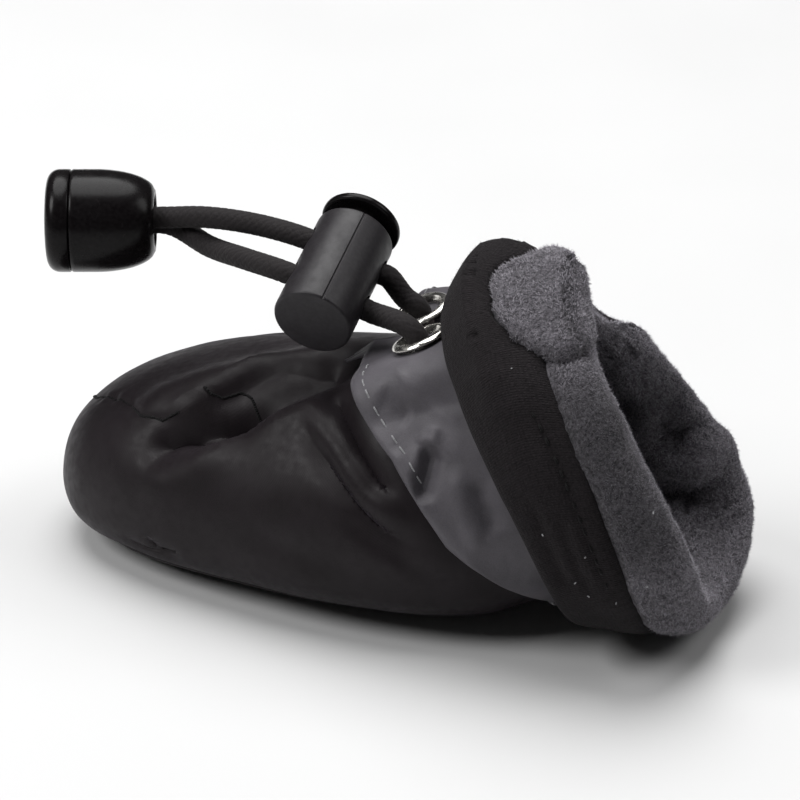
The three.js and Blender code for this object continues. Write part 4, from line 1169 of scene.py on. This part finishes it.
half = LOCK_LENGTH / 2
radius = LOCK_DIAMETER / 2
barrel_profile = [(0, -half)] + rounded([
    (0.3, -half), (radius, -half), (radius, half), (LOCK_BORE / 2, half),
    (LOCK_BORE / 2, -half + LOCK_FLOOR), (0.3, -half + LOCK_FLOOR)], 0.45, 6) + [(0, -half + LOCK_FLOOR)]
holes = [cylinder(LOCK + BUTTON * offset, CORD, HOLE_DIAMETER / 2, LOCK_DIAMETER + 4)
         for offset in (LOCK_HOLE_NEAR, LOCK_HOLE_FAR)]
barrel_points, barrel_faces = lathe(barrel_profile, LOCK, BUTTON, 192)
around = barrel_points - LOCK
around = around - (around @ BUTTON)[:, None] * BUTTON
parting = unit(np.cross(BUTTON, CORD))
aside = np.abs(around @ CORD)
on_wall = (np.linalg.norm(around, axis=1) > radius - 0.6) & (aside < 0.12)
barrel_points = barrel_points - unit(around) * (0.14 * on_wall)[:, None]
barrel = bored(barrel_points, barrel_faces, holes)
lock_barrel = make_hard("lock_barrel", *barrel, LOCK_PLASTIC, "shoe", "lock", ["cord_lock_barrel"])

stem = LOCK_BORE / 2 - 0.35
head = BUTTON_DIAMETER / 2
under = half + BUTTON_TRAVEL + CLEARANCE
foot = -half + LOCK_FLOOR + BUTTON_TRAVEL + CLEARANCE
button_profile = [(0, foot)] + rounded([
    (0.3, foot), (stem, foot), (stem, under), (head, under), (head, under + BUTTON_HEAD * 0.75),
    (head * 0.62, under + BUTTON_HEAD), (0.3, under + BUTTON_HEAD)], 0.5, 6) + [(0, under + BUTTON_HEAD)]
slots = []
for share in np.linspace(0, 1, 9):
    offset = LOCK_HOLE_NEAR + share * (LOCK_HOLE_FAR + BUTTON_TRAVEL - LOCK_HOLE_NEAR)
    slots.append(cylinder(LOCK + BUTTON * offset, CORD, HOLE_DIAMETER / 2, LOCK_DIAMETER, 32))
button = bored(*lathe(button_profile, LOCK, BUTTON, 96), slots)
make_hard("lock_button", *button, GLOSS_PLASTIC, "button", "gloss", ["cord_lock_button"])

# Bell and its cap


def bell_radius(height):
    share = np.minimum(height / (BELL_LENGTH * 0.55), 1)
    return BELL_THROAT / 2 + (BELL_DIAMETER - BELL_THROAT) / 2 * np.sqrt(1 - (1 - share) ** 2)


split = BELL_LENGTH - BELL_CAP
socket = BELL_SOCKET / 2
profile = [(0, BELL_SOCKET_DEPTH), (socket - 0.2, BELL_SOCKET_DEPTH), (socket, BELL_SOCKET_DEPTH - 0.2),
           (socket, 0.2), (socket + 0.15, 0.02)]
for height in np.linspace(0.02, split - 0.15, 28) ** 1.0:
    profile.append((float(bell_radius(height)), float(height)))
profile += [(BELL_DIAMETER / 2 - 0.12, split), (BELL_DIAMETER / 2 - 1.6, split), (0, split - 0.02)]
cord_bell = make("cord_bell", *lathe(profile, BELL_THROAT_PLACE, BELL_WAY, 96), GLOSS_PLASTIC,
                 slot="gloss", stands_for=["cord_end_bell"])
low = split + 0.12
corner = BELL_CAP * 0.5
profile = [(0, low - 0.1), (BELL_DIAMETER / 2 - 0.15, low), (BELL_DIAMETER / 2, low + 0.15)]
for angle in np.linspace(0, math.pi / 2, 12):
    profile.append((BELL_DIAMETER / 2 - corner + corner * math.cos(angle),
                    BELL_LENGTH - corner + corner * math.sin(angle)))
profile += [(BELL_DIAMETER / 4, BELL_LENGTH + 0.18), (0, BELL_LENGTH + 0.25)]
bell_cap = make("bell_cap", *lathe(profile, BELL_THROAT_PLACE, BELL_WAY, 96), GLOSS_PLASTIC,
                slot="gloss", stands_for=["cord_end_cap"])

# Drawcord strands


def through(points, count):
    """A centripetal curve through points, evenly sampled."""
    p = [np.array(x, float) for x in points]
    p = [2 * p[0] - p[1], *p, 2 * p[-1] - p[-2]]
    made = []
    for a, b, c, d in zip(p, p[1:], p[2:], p[3:]):
        da, db, dc = (max(np.linalg.norm(y - x), 1e-6) ** 0.5 for x, y in ((a, b), (b, c), (c, d)))
        m = ((b - a) / da - (c - a) / (da + db) + (c - b) / db) * db
        n = ((c - b) / db - (d - b) / (db + dc) + (d - c) / dc) * db
        f = np.linspace(0, 1, 40, endpoint=False)[:, None]
        made.append(b + m * f + (3 * (c - b) - 2 * m - n) * f**2 + (2 * (b - c) + m + n) * f**3)
    fine = np.concatenate([*made, p[-2][None]])
    run = np.concatenate([[0], np.cumsum(np.linalg.norm(np.diff(fine, axis=0), axis=-1))])
    at = np.linspace(0, run[-1], count)
    return np.stack([np.interp(at, run, fine[:, k]) for k in range(3)], 1), run[-1]


def braid_radius(length, steps, sides):
    """A round braid's surface: two families of flat strands that pass over and under."""
    s = np.linspace(0, length, steps)[:, None]
    turn = np.linspace(0, 1, sides, endpoint=False)[None, :]
    strands, pitch = 8, 9.0
    u = (turn + s / pitch) * strands
    v = (turn - s / pitch) * strands
    first = np.sqrt(np.clip(1 - (2 * (u % 1) - 1) ** 2, 0, 1))
    second = np.sqrt(np.clip(1 - (2 * (v % 1) - 1) ** 2, 0, 1))
    over = (np.floor(u) + np.floor(v)) % 2
    depth = np.where(over > 0, first, second)
    return CORD_DIAMETER / 2 - 0.1 + 0.13 * depth


def strand(name, tab, hole_offset, run, side, node):
    place, way = np.array(tab["place"]), unit(tab["way"])
    hole = LOCK + BUTTON * hole_offset
    reach = LOCK_DIAMETER / 2
    mouth = np.array(BELL_THROAT_PLACE) + side
    leave = hole + CORD * reach - place
    toward = unit(leave - way * (leave @ way))
    points = [
        place - way * 0.2 + toward * 0.4, place + way * 1.2 + toward * 0.5, place + way * 2.7 + toward * 1.7,
        hole + CORD * (reach + 1), hole + CORD * reach, hole, hole - CORD * reach,
        *[np.array(p) for p in run],
        mouth - unit(BELL_WAY) * 1.5, mouth + unit(BELL_WAY) * (BELL_SOCKET_DEPTH - 1)]
    steps, sides = 420, 56
    path, length = through(points, steps)
    vertices, faces = tube(path, braid_radius(length, steps, sides), sides)
    made = make(name, vertices, faces, BRAID, slot="cord", stands_for=[node])
    return made


half_gap = unit(STRAND_SIDE) * (CORD_DIAMETER + CLEARANCE) / 2
strand("cord_near", NEAR_TAB, LOCK_HOLE_NEAR, NEAR_RUN, half_gap, "drawcord_near")
strand("cord_far", FAR_TAB, LOCK_HOLE_FAR, FAR_RUN, -half_gap, "drawcord_far")

# Sole: a ribbed knit pad in a rolled rim, with glossy dots


def underside(x, y, offset=WALL / 2):
    """Height of the bag's outer underside over places on the floor."""
    x, y = np.broadcast_arrays(np.asarray(x, float), np.asarray(y, float))
    low, high = np.full(x.shape, 0.5), np.full(x.shape, 10.0)
    for _ in range(22):
        t = (low + high) / 2
        s = section(t)
        half = np.where(y > 0, s[..., NEAR], s[..., FAR])
        share = np.minimum(np.abs(y) / np.maximum(half, 1e-6), 1)
        angle = np.sign(y) * np.arcsin(share ** (s[..., SOLE_POWER] / 2))
        point = offset_point(t, angle, np.full(x.shape, offset))
        ahead = point[..., 0] > x
        low, high = np.where(ahead, t, low), np.where(ahead, high, t)
    return point[..., 2]


def oval(angle, margin=0.0):
    power = 2 / SOLE_SQUARENESS
    cos, sin = np.cos(angle), np.sin(angle)
    x = np.sign(cos) * np.abs(cos) ** power * (SOLE_LENGTH / 2 + margin) - SOLE_SETBACK
    y = np.sign(sin) * np.abs(sin) ** power * (SOLE_WIDTH / 2 + margin)
    return x, y


SOLE_RINGS = 46
SOLE_COLUMNS = 260
even = np.linspace(0, 2 * math.pi, 1441)
edge_x, edge_y = oval(even)
run = np.concatenate([[0], np.cumsum(np.hypot(np.diff(edge_x), np.diff(edge_y)))])
oval_angles = np.interp(np.linspace(0, run[-1], SOLE_COLUMNS, endpoint=False), run, even)
edge_x, edge_y = oval(oval_angles, -CLEARANCE)
shares = np.linspace(0.02, 1, SOLE_RINGS)[:, None]
x = (edge_x + SOLE_SETBACK) * shares - SOLE_SETBACK
y = edge_y * shares
floor_side = underside(x, y)
slope = (x * 0.86 + y * 0.5) / 1.05
ribs = 0.5 + 0.5 * np.cos(2 * math.pi * slope)
z = floor_side + 0.05 - 0.16 * ribs * smoothstep(1 - shares, 0.0, 0.03)
bottom = np.stack([x, y, z], -1)
top = np.stack([x[::-6], y[::-6], floor_side[::-6] + 1.6], -1)
points = np.concatenate([bottom, top])
vertices = points.reshape(-1, 3)
count = len(points)
centre = -SOLE_SETBACK
middle = float(underside(np.array([centre]), np.array([0.0]))[0])
vertices = np.concatenate([vertices, [[centre, 0, middle], [centre, 0, middle + 1.6]]])
j = np.arange(SOLE_COLUMNS)
k = (j + 1) % SOLE_COLUMNS
last = (count - 1) * SOLE_COLUMNS
faces = [grid_faces(count, SOLE_COLUMNS, False, True),
         np.stack([np.full(len(j), len(vertices) - 2), j, k], 1),
         np.stack([np.full(len(j), len(vertices) - 1), last + k, last + j], 1)]
make("sole_pad", vertices, faces, SOLE_KNIT, slot="sole", stands_for=["outsole"])

dots = []
row_count = int(SOLE_LENGTH / 2 // LUG_ROW_STEP)
column_count = int(SOLE_WIDTH / 2 // LUG_PITCH) + 1
outline = 1 - LUG_DIAMETER / SOLE_WIDTH - 0.03
for row in range(-row_count, row_count + 1):
    for column in range(-column_count, column_count + 1):
        x = row * LUG_ROW_STEP
        y = (column + (0.5 if row % 2 else 0)) * LUG_PITCH
        share = (abs(2 * (x + SOLE_SETBACK) / SOLE_LENGTH) ** SOLE_SQUARENESS
                 + abs(2 * y / SOLE_WIDTH) ** SOLE_SQUARENESS)
        if share > outline**SOLE_SQUARENESS:
            continue
        low = max(float(underside(np.array([x]), np.array([y]))[0]) - LUG_HEIGHT, 0)
        r = LUG_DIAMETER / 2
        profile = [(0, low), (r * 0.35, low + 0.02), (r * 0.62, low + 0.1), (r * 0.85, low + 0.3),
                   (r, low + 0.6), (r, low + LUG_HEIGHT + 0.4), (0, low + LUG_HEIGHT + 0.4)]
        dots.append(lathe(profile, (x, y, 0), (0, 0, 1), 20))
make("sole_dots", *joined(dots), DOT_RUBBER, slot="sole")

edge_x, edge_y = oval(oval_angles, 0.35)
rim_path = np.stack([edge_x, edge_y, underside(edge_x, edge_y) + 0.25], 1)
vertices, faces = tube(np.concatenate([rim_path, rim_path[:1]])[:-1], 0.75, 12, closed=True)
make("sole_rim", vertices, faces, NYLON, slot="nylon")

# Insole of fleece
x, y = oval(oval_angles[::2], -1.0)
rings = np.linspace(0.03, 1, 20)[:, None]
px, py = (x + SOLE_SETBACK) * rings - SOLE_SETBACK, y * rings
ground = underside(px, py, -WALL / 2)
puff = 0.25 * noise(np.stack([px, py, ground], -1), 1.5, 41)
top = np.stack([px, py, ground + CLEARANCE + INSOLE_THICKNESS + puff], -1)
bottom = np.stack([px[::-1], py[::-1], ground[::-1] + CLEARANCE], -1)
points = np.concatenate([top, bottom])
vertices = points.reshape(-1, 3)
columns = len(x)
j = np.arange(columns)
k = (j + 1) % columns
last = (len(points) - 1) * columns
vertices = np.concatenate([vertices, top[:1].mean(1), bottom[-1:].mean(1)])
faces = [grid_faces(len(points), columns, False, True)[:, ::-1],
         np.stack([np.full(len(j), len(vertices) - 2), k, j], 1),
         np.stack([np.full(len(j), len(vertices) - 1), last + j, last + k], 1)]
make("fleece_insole", vertices, faces, FLEECE, slot="lining", stands_for=["insole"])

# Studio

floor_mesh = bpy.data.meshes.new("floor")
reach = 3.0
floor_mesh.from_pydata([(-reach, -reach, 0), (reach, -reach, 0), (reach, reach, 0), (-reach, reach, 0)],
                       [], [(0, 1, 2, 3)])
floor_mesh.materials.append(floor_finish())
floor = bpy.data.objects.new("floor", floor_mesh)
bpy.context.scene.collection.objects.link(floor)
floor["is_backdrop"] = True

a, e = math.radians(AZIMUTH), math.radians(ELEVATION)
back = Vector((math.sin(a) * math.cos(e), -math.cos(a) * math.cos(e), math.sin(e)))
target = Vector(TARGET) * MM
camera_data = bpy.data.cameras.new("camera")
camera_data.sensor_width = SENSOR
camera_data.lens = LENS
camera_data.clip_start = 0.01
camera_data.clip_end = 20
camera = bpy.data.objects.new("camera", camera_data)
camera.location = target + back * DISTANCE * MM
camera.rotation_mode = "QUATERNION"
camera.rotation_quaternion = (-back).to_track_quat("-Z", "Y")
bpy.context.scene.collection.objects.link(camera)
bpy.context.scene.camera = camera


def area_light(name, azimuth, elevation, distance, size, power, tint=(1, 1, 1)):
    a, e = math.radians(azimuth), math.radians(elevation)
    way = Vector((math.sin(a) * math.cos(e), -math.cos(a) * math.cos(e), math.sin(e)))
    data = bpy.data.lights.new(name, "AREA")
    data.shape, data.size, data.energy, data.color = "DISK", size, power, tint
    made = bpy.data.objects.new(name, data)
    made.location = target + way * distance
    made.rotation_mode = "QUATERNION"
    made.rotation_quaternion = (-way).to_track_quat("-Z", "Y")
    bpy.context.scene.collection.objects.link(made)


area_light("overhead", AZIMUTH - 170, 72, 0.9, 0.9, 10.5)
area_light("left", AZIMUTH - 72, 42, 0.9, 0.45, 4.6)
area_light("right", AZIMUTH + 85, 42, 0.9, 0.45, 1.7)
world = bpy.data.worlds.new("studio")
world.use_nodes = True
world.node_tree.nodes["Background"].inputs["Color"].default_value = (1, 1, 1, 1)
world.node_tree.nodes["Background"].inputs["Strength"].default_value = 0.05
bpy.context.scene.world = world
bpy.context.scene.view_settings.view_transform = "Standard"

low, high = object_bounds()
